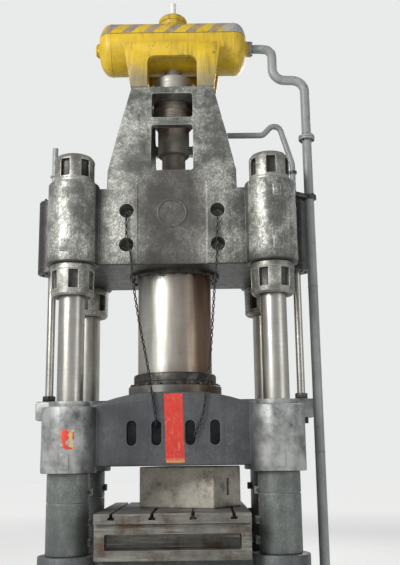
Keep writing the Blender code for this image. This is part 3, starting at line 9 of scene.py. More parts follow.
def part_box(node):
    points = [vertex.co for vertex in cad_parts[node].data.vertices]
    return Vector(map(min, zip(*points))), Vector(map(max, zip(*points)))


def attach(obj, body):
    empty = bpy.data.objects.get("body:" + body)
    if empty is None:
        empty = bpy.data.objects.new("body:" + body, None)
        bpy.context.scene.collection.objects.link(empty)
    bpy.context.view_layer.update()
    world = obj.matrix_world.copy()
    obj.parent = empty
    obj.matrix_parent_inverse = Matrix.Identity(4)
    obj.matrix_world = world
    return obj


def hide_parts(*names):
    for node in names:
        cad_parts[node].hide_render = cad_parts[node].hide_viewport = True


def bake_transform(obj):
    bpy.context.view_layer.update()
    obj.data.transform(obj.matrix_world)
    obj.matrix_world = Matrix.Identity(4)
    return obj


bl_info = {
    "name": "Forging press pieces",
    "version": (1, 0, 0),
    "blender": (4, 5, 0),
    "location": "View3D > Sidebar > Press",
    "description": "Models and finishes the pieces of a hydraulic forging press",
    "category": "Object",
}

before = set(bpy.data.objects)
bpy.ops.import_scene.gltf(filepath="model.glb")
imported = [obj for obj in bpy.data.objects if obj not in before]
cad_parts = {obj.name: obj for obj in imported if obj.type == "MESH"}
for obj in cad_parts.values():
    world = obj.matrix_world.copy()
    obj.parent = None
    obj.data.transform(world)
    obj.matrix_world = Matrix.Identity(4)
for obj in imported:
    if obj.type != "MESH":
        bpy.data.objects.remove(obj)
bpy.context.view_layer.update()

CORNERS = ("front_left", "front_right", "rear_left", "rear_right")
SIDES = {"left": -1.0, "right": 1.0}
# How far round the nuts of each column stand, in radians
NUT_TURNS = {"front_left": 0.72, "front_right": 1.06, "rear_left": 0.4, "rear_right": 0.9}
POCKETS = 6                     # spanner pockets round a column nut
ROUND = 96                      # facets of the large turned pieces
FINE = 48                       # facets of the small ones
MERGE = 0.00002                 # points closer than this become one
BORE = 0.2006                   # radius of a hole that a column fills
COLUMN_X, COLUMN_Y = 1.55, 0.95  # how far out the columns stand
SLEEVED = 0.6012                # radius of a ring that slides on the plunger
RETURN_X = 2.04                 # how far out the return cylinders stand
PORT_X = 0.715                  # how far out the upper crosshead's ports lie
TANK_Z = 9.77                   # height of the tank's axis
TANK_ROOM = 0.4536              # radius of the room cut for the tank
PIPE_FACE = 1.3353              # where the supply pipe meets the tank's nozzle
SUPPLY = (2.24, -0.45)          # where the supply pipe stands
HOOK_Z = 8.14                   # height of the return pipe's entry into the tower

BOLT = "Black bolt steel"
CASTING = "Aluminium painted cast steel"
PIPE = "Grey pipe enamel"
YELLOW = "Yellow cradle enamel"
SLEEVE = "Grey painted sleeve"
DARK = "Oiled forged cylinder"


def linear(hex_colour):
    """An sRGB hex colour as linear red, green and blue with full cover."""
    parts = [int(hex_colour[i:i + 2], 16) / 255 for i in (1, 3, 5)]
    return (*(p / 12.92 if p <= 0.04045 else ((p + 0.055) / 1.055) ** 2.4 for p in parts), 1.0)


# Sizes and colours that a user would change
def length(name, description, default, least=0.0):
    return bpy.props.FloatProperty(name=name, description=description, default=default, min=least,
                                   subtype="DISTANCE", unit="LENGTH")


def colour_of(name, description, default):
    return bpy.props.FloatVectorProperty(name=name, description=description, default=linear(default)[:3],
                                         size=3, min=0.0, max=1.0, subtype="COLOR")


class PressSizes(bpy.types.PropertyGroup):
    casting_edge: length("Casting edge", "Rounding of the castings' free edges", 0.03)
    plate_edge: length("Plate edge", "Rounding of cut plate", 0.006)
    link_pitch: length("Chain pitch", "Length that each chain link adds", 0.056, 0.01)
    link_wire: length("Chain wire", "Radius of a link's bar", 0.009, 0.001)
    bolt_size: length("Flange bolt", "Width across the corners of a flange bolt's head", 0.052, 0.005)


class PressColours(bpy.types.PropertyGroup):
    bare_casting: colour_of("Upper casting", "Aluminium paint on the upper crosshead", "#87877F")
    dark_casting: colour_of("Lower casting", "Oily grey paint on the moving crosshead", "#505153")
    tank_yellow: colour_of("Tank yellow", "Enamel on the tank and its cradle", "#C8A61C")
    stripe_red: colour_of("Centre stripe", "Red paint down the moving crosshead", "#C8392C")


# Modelling by hand
def leave_edit():
    if bpy.context.object and bpy.context.object.mode != "OBJECT":
        bpy.ops.object.mode_set(mode="OBJECT")
    bpy.ops.object.select_all(action="DESELECT")


def pick(piece):
    leave_edit()
    piece.select_set(True)
    bpy.context.view_layer.objects.active = piece


def set_down(piece, place=None, turn=None):
    """Move and turn a piece, and put its place into its mesh."""
    if place is not None:
        piece.location = place
    if turn is not None:
        piece.rotation_euler = turn
    pick(piece)
    bpy.ops.object.transform_apply(location=True, rotation=True, scale=True)
    return piece


def started(name):
    piece = bpy.context.object
    piece.name = name
    piece.data.name = name
    return piece


def draw_line(name, points):
    """An edge line drawn point by point from a single vertex; stays in edit mode."""
    leave_edit()
    points = [Vector(point) for point in points]
    bpy.ops.mesh.primitive_plane_add(size=1.0, location=(0.0, 0.0, 0.0))
    piece = started(name)
    bpy.ops.object.mode_set(mode="EDIT")
    bpy.ops.mesh.select_all(action="SELECT")
    bpy.ops.mesh.merge(type="CENTER")
    bpy.ops.transform.translate(value=points[0])
    for start, end in zip(points, points[1:]):
        bpy.ops.mesh.extrude_vertices_move(TRANSFORM_OT_translate={"value": end - start})
    return piece


def clean_up():
    """Merge doubled points and turn every face outwards; leaves edit mode."""
    bpy.ops.mesh.select_all(action="SELECT")
    bpy.ops.mesh.remove_doubles(threshold=MERGE)
    bpy.ops.mesh.normals_make_consistent(inside=False)
    leave_edit()


def shade(piece, angle=32.0):
    pick(piece)
    bpy.ops.object.shade_smooth_by_angle(angle=math.radians(angle))
    return piece


QUARTER = math.pi / 2
TURNS = {"Z": (0.0, 0.0, 0.0), "-Z": (math.pi, 0.0, 0.0), "X": (0.0, QUARTER, 0.0), "-X": (0.0, -QUARTER, 0.0),
         "-Y": (QUARTER, 0.0, 0.0)}


def turned(name, profile, centre=(0.0, 0.0, 0.0), axis="Z", steps=ROUND):
    """A turned piece: (radius, height) down its outer side; both ends off the axis make a ring."""
    profile = list(profile)
    if profile[0][0] > 0.0 and profile[-1][0] > 0.0:
        profile.append(profile[0])
    piece = draw_line(name, [(radius, 0.0, height) for radius, height in profile])
    bpy.ops.mesh.select_all(action="SELECT")
    bpy.ops.mesh.spin(steps=steps, angle=math.tau, center=(0.0, 0.0, 0.0), axis=(0.0, 0.0, 1.0))
    clean_up()
    return shade(set_down(piece, centre, TURNS[axis]))


def raised(profile, height, grow=0.0):
    """A profile moved up and out."""
    return [(radius + grow, height + rise) for radius, rise in profile]


def rounded(corners, steps=6):
    """Corners (a, b, radius) as an outline with each radius drawn as an arc."""
    outline = []
    for index, (a, b, radius) in enumerate(corners):
        here = Vector((a, b))
        if radius == 0.0:
            outline.append(here)
            continue
        back = (Vector(corners[index - 1][:2]) - here).normalized()
        ahead = (Vector(corners[(index + 1) % len(corners)][:2]) - here).normalized()
        half = back.angle(ahead) / 2
        start = here + back * (radius / math.tan(half))
        end = here + ahead * (radius / math.tan(half))
        middle = here + (back + ahead).normalized() * (radius / math.sin(half))
        swing = (start - middle).angle_signed(end - middle)
        for step in range(steps + 1):
            spoke = start - middle
            spoke.rotate(Matrix.Rotation(-swing * step / steps, 2))
            outline.append(middle + spoke)
    return outline


def oblong(a, b, width, height, radius, steps=6):
    left, right, low, high = a - width / 2, a + width / 2, b - height / 2, b + height / 2
    return rounded([(x, z, radius) for x, z in ((left, low), (right, low), (right, high), (left, high))], steps)


def cut_from_plate(name, outline, start, end, facing="Y"):
    """A plate of one outline: (x, z) from start to end along Y, or (y, z) along X."""
    across = facing == "X"
    piece = draw_line(name, [(start, a, b) if across else (a, start, b) for a, b in outline])
    bpy.ops.mesh.select_all(action="SELECT")
    bpy.ops.mesh.remove_doubles(threshold=MERGE)
    bpy.ops.mesh.select_all(action="SELECT")
    bpy.ops.mesh.edge_face_add()
    run = (end - start, 0.0, 0.0) if across else (0.0, end - start, 0.0)
    bpy.ops.mesh.extrude_region_move(TRANSFORM_OT_translate={"value": run})
    clean_up()
    return piece


def block(name, low, high, edge=0.0, segments=3):
    """A block between two corners with its edges rounded over."""
    low, high = Vector(low), Vector(high)
    leave_edit()
    bpy.ops.mesh.primitive_cube_add(size=1.0, location=(low + high) / 2)
    piece = started(name)
    piece.scale = high - low
    set_down(piece)
    return round_over(piece, edge, segments) if edge > 0.0 else piece


def bar(name, radius, start, end, sides=FINE, edge=0.0):
    """A round bar between two points with its rims rounded over."""
    start, end = Vector(start), Vector(end)
    leave_edit()
    bpy.ops.mesh.primitive_cylinder_add(vertices=sides, radius=radius, depth=(end - start).length,
                                        location=(start + end) / 2)
    piece = set_down(started(name), turn=(end - start).to_track_quat("Z", "Y").to_euler())
    return round_over(piece, edge, 2, 50.0) if edge > 0.0 else piece


def post(name, radius, x, y, low, high, sides=FINE, edge=0.0):
    return bar(name, radius, (x, y, low), (x, y, high), sides, edge)


def hexagon(name, radius, place, height, rim, segments=2):
    """A hexagon standing on its place, with its rims broken."""
    leave_edit()
    bpy.ops.mesh.primitive_cylinder_add(vertices=6, radius=radius, depth=height,
                                        location=Vector(place) + Vector((0.0, 0.0, height / 2)))
    return round_over(set_down(started(name)), rim, segments, 50.0)


def use_modifier(piece, kind, **settings):
    step = piece.modifiers.new(kind.lower(), kind)
    for setting, value in settings.items():
        setattr(step, setting, value)
    pick(piece)
    bpy.ops.object.modifier_apply(modifier=step.name)


def round_over(piece, width, segments=2, angle=30.0):
    use_modifier(piece, "BEVEL", width=width, segments=segments, limit_method="ANGLE",
                 angle_limit=math.radians(angle))
    return piece


def combine(piece, operation, tools):
    for tool in tools:
        use_modifier(piece, "BOOLEAN", operation=operation, solver="EXACT", object=tool)
        bpy.data.objects.remove(tool)
    return piece


def weld_on(piece, *tools):
    return combine(piece, "UNION", tools)


def cut_out(piece, *tools):
    return combine(piece, "DIFFERENCE", tools)


def gather(name, pieces):
    """Several loose pieces as one object."""
    leave_edit()
    for piece in pieces:
        piece.select_set(True)
    bpy.context.view_layer.objects.active = pieces[0]
    if len(pieces) > 1:
        bpy.ops.object.join()
    return started(name)


def copies(name, seed, places):
    """Copies of one seed, each with its own mesh, gathered into one object."""
    made = []
    for place in places:
        copy = bpy.data.objects.new(name, seed.data.copy())
        copy.matrix_world = place
        bpy.context.scene.collection.objects.link(copy)
        made.append(copy)
    bpy.data.objects.remove(seed)
    return set_down(gather(name, made))


def hex_bolt(across, height):
    """A hexagon head with a broken rim on its washer, standing on Z = 0."""
    foot = height * 0.18
    head = hexagon("bolt_head", across / 2, (0.0, 0.0, foot), height - foot, across * 0.06, 1)
    return gather("bolt", [head, post("bolt_washer", across * 0.58, 0.0, 0.0, 0.0, foot, 16)])


def bolts(name, centre, count, radius, axis, across, height, first=0.0):
    """A ring of bolts whose heads stand out along the axis."""
    facing = Matrix.Translation(centre) @ Euler(TURNS[axis]).to_matrix().to_4x4()
    return copies(name, hex_bolt(across, height), [
        facing @ Matrix.Rotation(first + math.tau * n / count, 4, "Z") @ Matrix.Translation((radius, 0.0, 0.0))
        for n in range(count)])


def pipe(name, route, radius, resolution=5):
    """A bent tube along a route."""
    leave_edit()
    bpy.ops.curve.primitive_nurbs_path_add()
    line = bpy.context.object
    line.location = (0.0, 0.0, 0.0)
    curve = line.data
    curve.splines.clear()
    spline = curve.splines.new("POLY")
    spline.points.add(len(route) - 1)
    for point, place in zip(spline.points, route):
        point.co = (*place, 1.0)
    curve.bevel_depth = radius
    curve.bevel_resolution = resolution
    curve.use_fill_caps = True
    bpy.ops.object.convert(target="MESH")
    piece = started(name)
    bpy.ops.object.mode_set(mode="EDIT")
    clean_up()
    return shade(piece)


def bent(corners, radius, steps=10):
    """A route through corners with each sharp turn drawn as an arc."""
    points = [Vector(corner) for corner in corners]
    route = [points[0]]
    for before, here, after in zip(points, points[1:], points[2:]):
        back, ahead = (before - here).normalized(), (after - here).normalized()
        half = back.angle(ahead) / 2
        sweep = math.pi - 2 * half
        if sweep < math.radians(16.0):
            route.append(here)
            continue
        start = here + back * (radius / math.tan(half))
        middle = here + (back + ahead).normalized() * (radius / math.sin(half))
        axis = back.cross(ahead)
        for step in range(steps + 1):
            route.append(middle + Matrix.Rotation(-sweep * step / steps, 3, axis) @ (start - middle))
    return route + [points[-1]]


def smooth_line(points, splits):
    """A smooth curve through the points."""
    padded = [2 * points[0] - points[1]] + points + [2 * points[-1] - points[-2]]
    line = []
    for before, start, end, after in zip(padded, padded[1:], padded[2:], padded[3:]):
        for step in range(splits):
            t = step / splits
            line.append((2 * start + (end - before) * t + (2 * before - 5 * start + 4 * end - after) * t ** 2
                         + (3 * start - before - 3 * end + after) * t ** 3) / 2)
    return line + [points[-1]]


def span(node):
    """A node's lowest and highest corners, and its middle."""
    low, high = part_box(node)
    return low, high, (low + high) / 2


def column_places():
    return [span("column_" + where)[2][:2] for where in CORNERS]


def give(piece, finish, *nodes, body="frame"):
    """Finish a piece, hang it on its body and let it stand for its solids."""
    piece.data.materials.clear()
    piece.data.materials.append(bpy.data.materials[finish])
    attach(piece, body)
    if nodes:
        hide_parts(*nodes)


# Finishes. Every pattern's size is given in millimetres.
def add_node(tree, kind, sockets=None, out=0, **options):
    """One shader node: what its sockets hold or are fed by, its options, and the output that is wanted."""
    made = tree.nodes.new("ShaderNode" + kind)
    for option, value in options.items():
        setattr(made, option, value)
    for key, value in (sockets or {}).items():
        if isinstance(value, bpy.types.NodeSocket):
            tree.links.new(value, made.inputs[key])
        else:
            made.inputs[key].default_value = value
    return made.outputs[out]


def tone(colour):
    """A hex colour, a user's colour or a mixed one, as a colour socket takes it."""
    if isinstance(colour, bpy.types.NodeSocket):
        return colour
    return linear(colour) if isinstance(colour, str) else (*colour[:3], 1.0)


class Finish:
    """A finish in the making: its nodes, its shader's sockets, the place on the piece and the colour so far."""

    def __init__(self, name, roughness, metallic, ground):
        self.material = bpy.data.materials.new(name)
        self.material.use_nodes = True
        tree = self.material.node_tree
        self.node = functools.partial(add_node, tree)
        self.link = tree.links.new
        self.shader = tree.nodes["Principled BSDF"].inputs
        self.shader["Roughness"].default_value = roughness
        self.shader["Metallic"].default_value = metallic
        self.place = self.node("TexCoord", out="Object")
        self.base = tone(ground)

    def mottle(self, size, detail=4.0, rough=0.55, twist=0.0, place=None, turn=(0.0, 0.0, 0.0),
               shift=(0.0, 0.0, 0.0)):
        """Cloudy patches of one size in millimetres, or drawn out to three sizes along x, y and z."""
        sizes = size if isinstance(size, tuple) else (size,) * 3
        drawn = self.node("Mapping", {"Vector": self.place if place is None else place, "Location": shift,
                                      "Rotation": turn, "Scale": [1000.0 / mm for mm in sizes]})
        return self.node("TexNoise", {"Vector": drawn, "Scale": 1.0, "Detail": detail, "Roughness": rough,
                                      "Distortion": twist})

    def overlap(self, *covers):
        """How much all the covers hold at once. A cover is a socket, a number, (value, low, high) climbing from
        0 to 1, (value, low, high, thin, thick), or (value, "LESS_THAN" or "GREATER_THAN", limit)."""
        held = None
        for cover in covers:
            if isinstance(cover, tuple) and isinstance(cover[1], str):
                cover = self.node("Math", {0: cover[0], 1: cover[2]}, operation=cover[1])
            elif isinstance(cover, tuple):
                cover = self.node("MapRange", dict(enumerate((*cover, 0.0, 1.0)[:5])))
            held = cover if held is None else self.node("Math", {0: held, 1: cover}, operation="MULTIPLY")
        return held

    def near(self, value, middle, reach, ragged=0.0):
        """1 where a value lies within reach of the middle, up to a ragged border."""
        for operation, other in (("SUBTRACT", middle), ("ABSOLUTE", 0.0), ("ADD", ragged), ("LESS_THAN", reach)):
            value = self.node("Math", {0: value, 1: other}, operation=operation)
        return value

    def coat(self, colour, *covers):
        """Lay a colour over the base where all its covers hold."""
        self.base = self.node("Mix", {0: self.overlap(*covers), 6: self.base, 7: tone(colour)}, 2,
                              data_type="RGBA")

    def arrises(self, radius):
        """A cover for rubbed edges: where the rounding turns away from the face."""
        soft = self.node("Bevel", {"Radius": radius}, samples=4)
        true = self.node("NewGeometry", out="Normal")
        return self.node("VectorMath", {0: soft, 1: true}, "Value", operation="DOT_PRODUCT"), 0.995, 0.86

    def done(self, roughness, heights, edge=0.0):
        """Hand over the colour, the roughness and the relief, which is (height, depth in metres) layers."""
        self.link(self.base, self.shader["Base Color"])
        self.link(self.overlap(roughness), self.shader["Roughness"])
        normal = self.node("Bevel", {"Radius": edge}, samples=4) if edge else None
        for height, depth in heights:
            under = {} if normal is None else {"Normal": normal}
            normal = self.node("Bump", {"Strength": 1.0, "Distance": depth, "Height": height, **under})
        self.link(normal, self.shader["Normal"])


def painted_casting(name, colour, dark, bright, metallic=0.45, patch=588, wear=0.5, extra=None):
    """Sand-cast steel under aluminium paint: tones that change over half a metre, hand marks of 125 mm, oil runs
    140 mm wide and 1.4 m long, fine slanting scratches that shine, and rubbed arrises. The mould's grain is
    drawn 17 mm wide, because real sand of 0.5 mm is too fine to show."""
    finish = Finish(name, 0.42, metallic, dark)
    large = finish.mottle(patch, 4.0, 0.55, 0.3)
    hand = finish.mottle(125, 6.0, 0.7, 0.2)
    grain = finish.mottle(16.67, 3.0, 0.6)
    finish.coat(colour, (large, 0.34, 0.62, 0.25, 1.0))
    finish.coat(dark, (hand, 0.54, 0.36, 0.0, 0.4))
    finish.coat(dark, (finish.mottle((143, 143, 1430), 6.0, 0.7), 0.48, 0.70, 0.0, 0.75))
    handled = finish.node("Math", {0: hand, 1: 0.6, 2: large}, operation="MULTIPLY_ADD")
    # Scratches from chains and slings, 10 to 14 mm apart and about 100 mm long, coarser than the real ones.
    for lean, width in ((0.75, 11.765), (-0.6, 14.286), (1.35, 10.526)):
        leaning = finish.node("Mapping", {"Vector": finish.place, "Rotation": (0.3, lean, 0.4)})
        scratches = finish.mottle((width / 0.12, width * 2, width), 4.0, 0.7, place=leaning)
        finish.coat(bright, (scratches, 0.52, 0.68, 0.0, wear), (handled, 0.70, 0.92, 0.12, 1.0))
    finish.coat("#191919", (grain, 0.36, 0.30, 0.0, 0.35))
    finish.coat(bright, finish.arrises(0.02), 0.5)
    if extra:
        extra(finish)
    finish.done((hand, 0.35, 0.65, 0.52, 0.36), [(grain, 0.0018), (hand, 0.004)], 0.014)


def browned_panel_and_painted_shade(finish):
    """The upper crosshead: its plain panel browned and darker, painted shade in the corners beside the bosses, the
    beam darker towards its bottom, and painted shade on the underside of the casting and along its lowest edge."""
    x, y, z = finish.node("SeparateXYZ", {0: finish.place}).node.outputs
    ragged = finish.overlap(finish.mottle((167, 167, 1250), 5.0, 0.7), 0.3)
    across = finish.node("Math", {0: x}, operation="ABSOLUTE")
    wandering = finish.node("Math", {0: across, 1: ragged})
    finish.coat("#3B3733", (y, "LESS_THAN", -0.9), (wandering, 0.92, 0.50), (z, 7.9, 6.7), 0.8)
    # Painted shade: dark bands in the corners where the bosses meet the beam.
    finish.coat("#2B2A28", (wandering, 1.06, 1.34, 0.0, 0.75), (across, "LESS_THAN", 1.19))
    finish.coat("#2F2E2C", (finish.node("Math", {0: z, 1: ragged}), 5.98, 5.72, 0.0, 0.6))
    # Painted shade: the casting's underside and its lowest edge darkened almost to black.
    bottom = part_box("upper_crosshead")[0].z
    finish.coat("#1F1E1D", (z, bottom + 0.035, bottom + 0.02, 0.0, 0.8))


def pocket_painted_shade(finish):
    """Painted shade in the nuts' spanner pockets: near black, nearer to the columns than the rims are."""
    off = finish.place
    for operation, other in (("MULTIPLY", (1.0, 1.0, 0.0)), ("ABSOLUTE", (0.0, 0.0, 0.0)),
                             ("SUBTRACT", (COLUMN_X, COLUMN_Y, 0.0))):
        off = finish.node("VectorMath", {0: off, 1: other}, operation=operation)
    off = finish.node("VectorMath", {0: off}, "Value", operation="LENGTH")
    # Painted shade: near black inside the pockets, inward of their rims.
    finish.coat("#1B1A18", (off, 0.302, 0.272, 0.0, 0.85))


def oiled_and_striped(finish):
    """The moving crosshead: bosses rubbed silver and lightened further by a painted highlight, a red stripe with
    scuffs and pale scribbles 28 mm apart, and a scrawled daub of red and yellow on its left boss."""
    x, y, z = finish.node("SeparateXYZ", {0: finish.place}).node.outputs
    across = finish.node("Math", {0: x}, operation="ABSOLUTE")
    # Painted highlight on the bosses, laid over their real rubbed wear.
    finish.coat("#AEAFAB", (across, 1.12, 1.32, 0.0, 0.75), (finish.mottle(385, 6.0, 0.66), 0.34, 0.60))
    ragged = finish.node("Math", {0: finish.mottle(38.46, 5.0, 0.7), 1: 0.5}, operation="SUBTRACT")
    ragged = finish.overlap(ragged, 0.035)
    # The stripe leans by 26 mm to the metre.
    lean = finish.node("Math", {0: z, 1: -0.026, 2: 0.09612}, operation="MULTIPLY_ADD")
    under, finish.base = finish.base, tone(bpy.context.scene.press_colours.stripe_red)
    finish.coat("#A93226", (finish.mottle(143), 0.4, 0.7, 0.0, 0.6))
    finish.coat("#D8A79B", (finish.mottle((27.8, 200, 125), 6.0, 0.75, 1.2), 0.57, 0.66, 0.0, 0.6))
    finish.coat("#C9A36B", (finish.node("Math", {0: z, 1: ragged}), 2.70, 2.64, 0.0, 0.6))
    red, finish.base = finish.base, under
    finish.coat(red, finish.near(x, lean, 0.138, ragged), finish.near(z, 3.13, 0.505, ragged),
                (y, "LESS_THAN", -0.985), (finish.mottle((45.5, 45.5, 130), 6.0, 0.75), 0.60, 0.68, 1.0, 0.25))
    daub = finish.overlap(finish.near(x, -1.51, 0.095, ragged), finish.near(z, 2.97, 0.14, ragged),
                          (y, "LESS_THAN", -1.0))
    finish.coat("#C4402E", daub, (finish.mottle(111.1, 3.0, 0.6, 0.6), 0.40, 0.46))
    finish.coat("#B9AE86", daub, (finish.mottle(125, shift=(24.0, 8.0, 16.0)), 0.56, 0.60))


def ground_steel(name, colour="#B7B4AC", film="#6B5B47", film_from=0.55, film_amount=0.5, rough=0.27, coarse=1.0,
                 extra=None):
    """Ground and honed steel: lines round the bar, streaks of oil 70 mm wide down it, and a thin brown film. The
    lines are drawn 4 mm apart, because real ones of 0.1 mm are too fine to show."""
    finish = Finish(name, rough, 1.0, colour)
    lines = finish.mottle((500 * coarse, 500 * coarse, 3.846), 3.0, 0.6)
    runs = finish.mottle((71.43 * coarse, 71.43 * coarse, 1430), 6.0, 0.7)
    finish.coat("#8A8780", (finish.mottle(385 * coarse, 6.0, 0.66, 0.5), 0.35, 0.7, 0.0, 0.45))
    finish.coat(film, (runs, film_from, film_from + 0.16, 0.0, film_amount))
    finish.coat("#55524D", (lines, 0.40, 0.75, 0.0, 0.25))
    if extra:
        extra(finish)
    dull = finish.node("Math", {0: finish.overlap((runs, 0.4, 0.75, rough, rough + 0.22)),
                                1: finish.overlap((lines, 0.3, 0.7, 0.0, 0.06))})
    finish.done(dull, [(lines, 0.0003)])


def oil_film_and_painted_shade(finish):
    """The plunger: browned by old oil and darkened by painted shade along its right side, and smoked near its foot.
    """
    x, _, z = finish.node("SeparateXYZ", {0: finish.place}).node.outputs
    wander = finish.overlap(finish.mottle((333, 333, 1667), 5.0, 0.65), 0.5)
    # Painted shade: the real brown oil film deepened over the right side, away from the key light.
    finish.coat("#6A4A2E", (finish.node("Math", {0: x, 1: wander}), 0.0, 0.70, 0.0, 0.9))
    level = finish.node("Math", {0: wander, 1: 1.2, 2: z}, operation="MULTIPLY_ADD")
    finish.coat("#3A3733", (level, 4.45, 4.05, 0.0, 0.7))


def enamel(name, colour, chips, chip_from=0.60, rough=0.42, grime="#3A3428", grime_amount=0.5, extra=None):
    """Old enamel on steel: colour uneven over 330 mm, chips down to bare grey metal with parts of 10 to 90 mm,
    grime in runs 80 mm wide and 900 mm long, and a brushed skin of 11 mm."""
    finish = Finish(name, rough, 0.0, [0.78 * c for c in tone(colour)])
    runs = finish.mottle((83.3, 83.3, 909), 6.0, 0.7)
    finish.coat(colour, (finish.mottle(333, 5.0, 0.6), 0.35, 0.68))
    if extra:
        extra(finish)
    finish.coat(grime, (runs, 0.50, 0.72, 0.0, grime_amount))
    bare = finish.overlap((finish.mottle(90.9, 8.0, 0.72, 0.3), chip_from, chip_from + 0.035))
    finish.coat(chips, bare)
    finish.link(finish.overlap(bare, 0.75), finish.shader["Metallic"])
    finish.done((runs, 0.35, 0.7, rough - 0.06, rough + 0.22),
                [(finish.overlap((bare, 0.0, 1.0, 1.0, 0.0)), 0.0012), (finish.mottle(11.11, 2.0, 0.5), 0.0008)],
                0.008)


def foot_grime(finish):
    """Grey grime that thickens towards the cradle's feet."""
    z = finish.node("SeparateXYZ", {0: finish.place}, "Z")
    level = finish.node("Math", {0: finish.mottle(250, 6.0, 0.7), 1: 0.55, 2: z}, operation="MULTIPLY_ADD")
    finish.coat("#6A675C", (level, 9.60, 9.20, 0.0, 0.8))


def tank_stripes(finish):
    """Faded mauve-grey stripes every 370 mm in a band high on the tank's front, its rubbed right shoulder, and
    the seam under them."""
    x, y, z = finish.node("SeparateXYZ", {0: finish.place}).node.outputs
    pitch, lean, level, first = 0.37, 0.85, 9.9, 4.62
    slope = finish.node("Math", {0: z, 1: -lean, 2: x}, operation="MULTIPLY_ADD")
    count = finish.node("Math", {0: slope, 1: 1 / pitch, 2: lean * level / pitch + first},
                        operation="MULTIPLY_ADD")
    wave = finish.node("Math", {0: count}, operation="FRACT")
    band = finish.overlap((z, "GREATER_THAN", 9.885), (y, "LESS_THAN", 0.0))
    finish.coat("#6F6A72", finish.near(wave, 0.5, 0.24), band,
                (finish.mottle(166.7, 6.0, 0.7), 0.30, 0.62, 0.35, 0.95))
    rubbed = finish.node("Math", {0: finish.mottle(250, 5.0), 1: 0.5, 2: x}, operation="MULTIPLY_ADD")
    finish.coat("#8B9099", (rubbed, "GREATER_THAN", 1.15), band, 0.7)
    finish.coat("#4B3D1C", finish.near(z, 9.872, 0.009), 0.8)


def forged_plate(name, colour, dark, rust="#5A3B28", rust_amount=0.5, lines=(833, 33.33, 33.33), extra=None):
    """Hot-rolled and forged steel: scale rubbed off in lines 33 mm apart, darker patches of 300 mm, a little
    rust, and pits of 20 mm, coarser than real ones so that they show."""
    finish = Finish(name, 0.55, 0.5, dark)
    rubs = finish.mottle(lines, 6.0, 0.7, turn=(0.05, 0.1, 0.03))
    patches = finish.mottle(312.5, 7.0, 0.68)
    pits = finish.mottle(20.83, 4.0, 0.65)
    finish.coat(colour, (patches, 0.36, 0.60))
    finish.coat("#B9B6AC", (rubs, 0.52, 0.72, 0.0, 0.55))
    finish.coat(dark, (rubs, 0.46, 0.30, 0.0, 0.45))
    finish.coat(rust, (patches, 0.47, 0.36, 0.0, rust_amount))
    finish.coat("#1C1916", (pits, 0.36, 0.30, 0.0, 0.5))
    finish.coat("#B9B6AC", finish.arrises(0.012), 0.5)
    if extra:
        extra(finish)
    finish.done((rubs, 0.4, 0.7, 0.62, 0.40), [(pits, 0.0016), (rubs, 0.0008)], 0.008)


def heated_bands(finish):
    """The valve: pale worn steel at its cap and neck, brown heat between the tower's windows."""
    z = finish.node("SeparateXYZ", {0: finish.place}, "Z")
    finish.coat("#A9A8A1", (z, 8.72, 8.80, 0.0, 0.65))
    finish.coat("#989387", (z, 8.16, 8.02, 0.0, 0.55))


def plain_metal(name, colour, dark, rough=0.4, metallic=1.0, size=50):
    """A small machined or cast surface with handling marks, 50 mm wide unless told otherwise, and a grain of an
    eighth of that."""
    finish = Finish(name, rough, metallic, dark)
    marks = finish.mottle(size, 6.0, 0.65, 0.4)
    finish.coat(colour, (marks, 0.38, 0.64))
    finish.done((marks, 0.35, 0.7, rough + 0.15, rough - 0.05), [(finish.mottle(size / 8, 3.0, 0.6), 0.0006)])


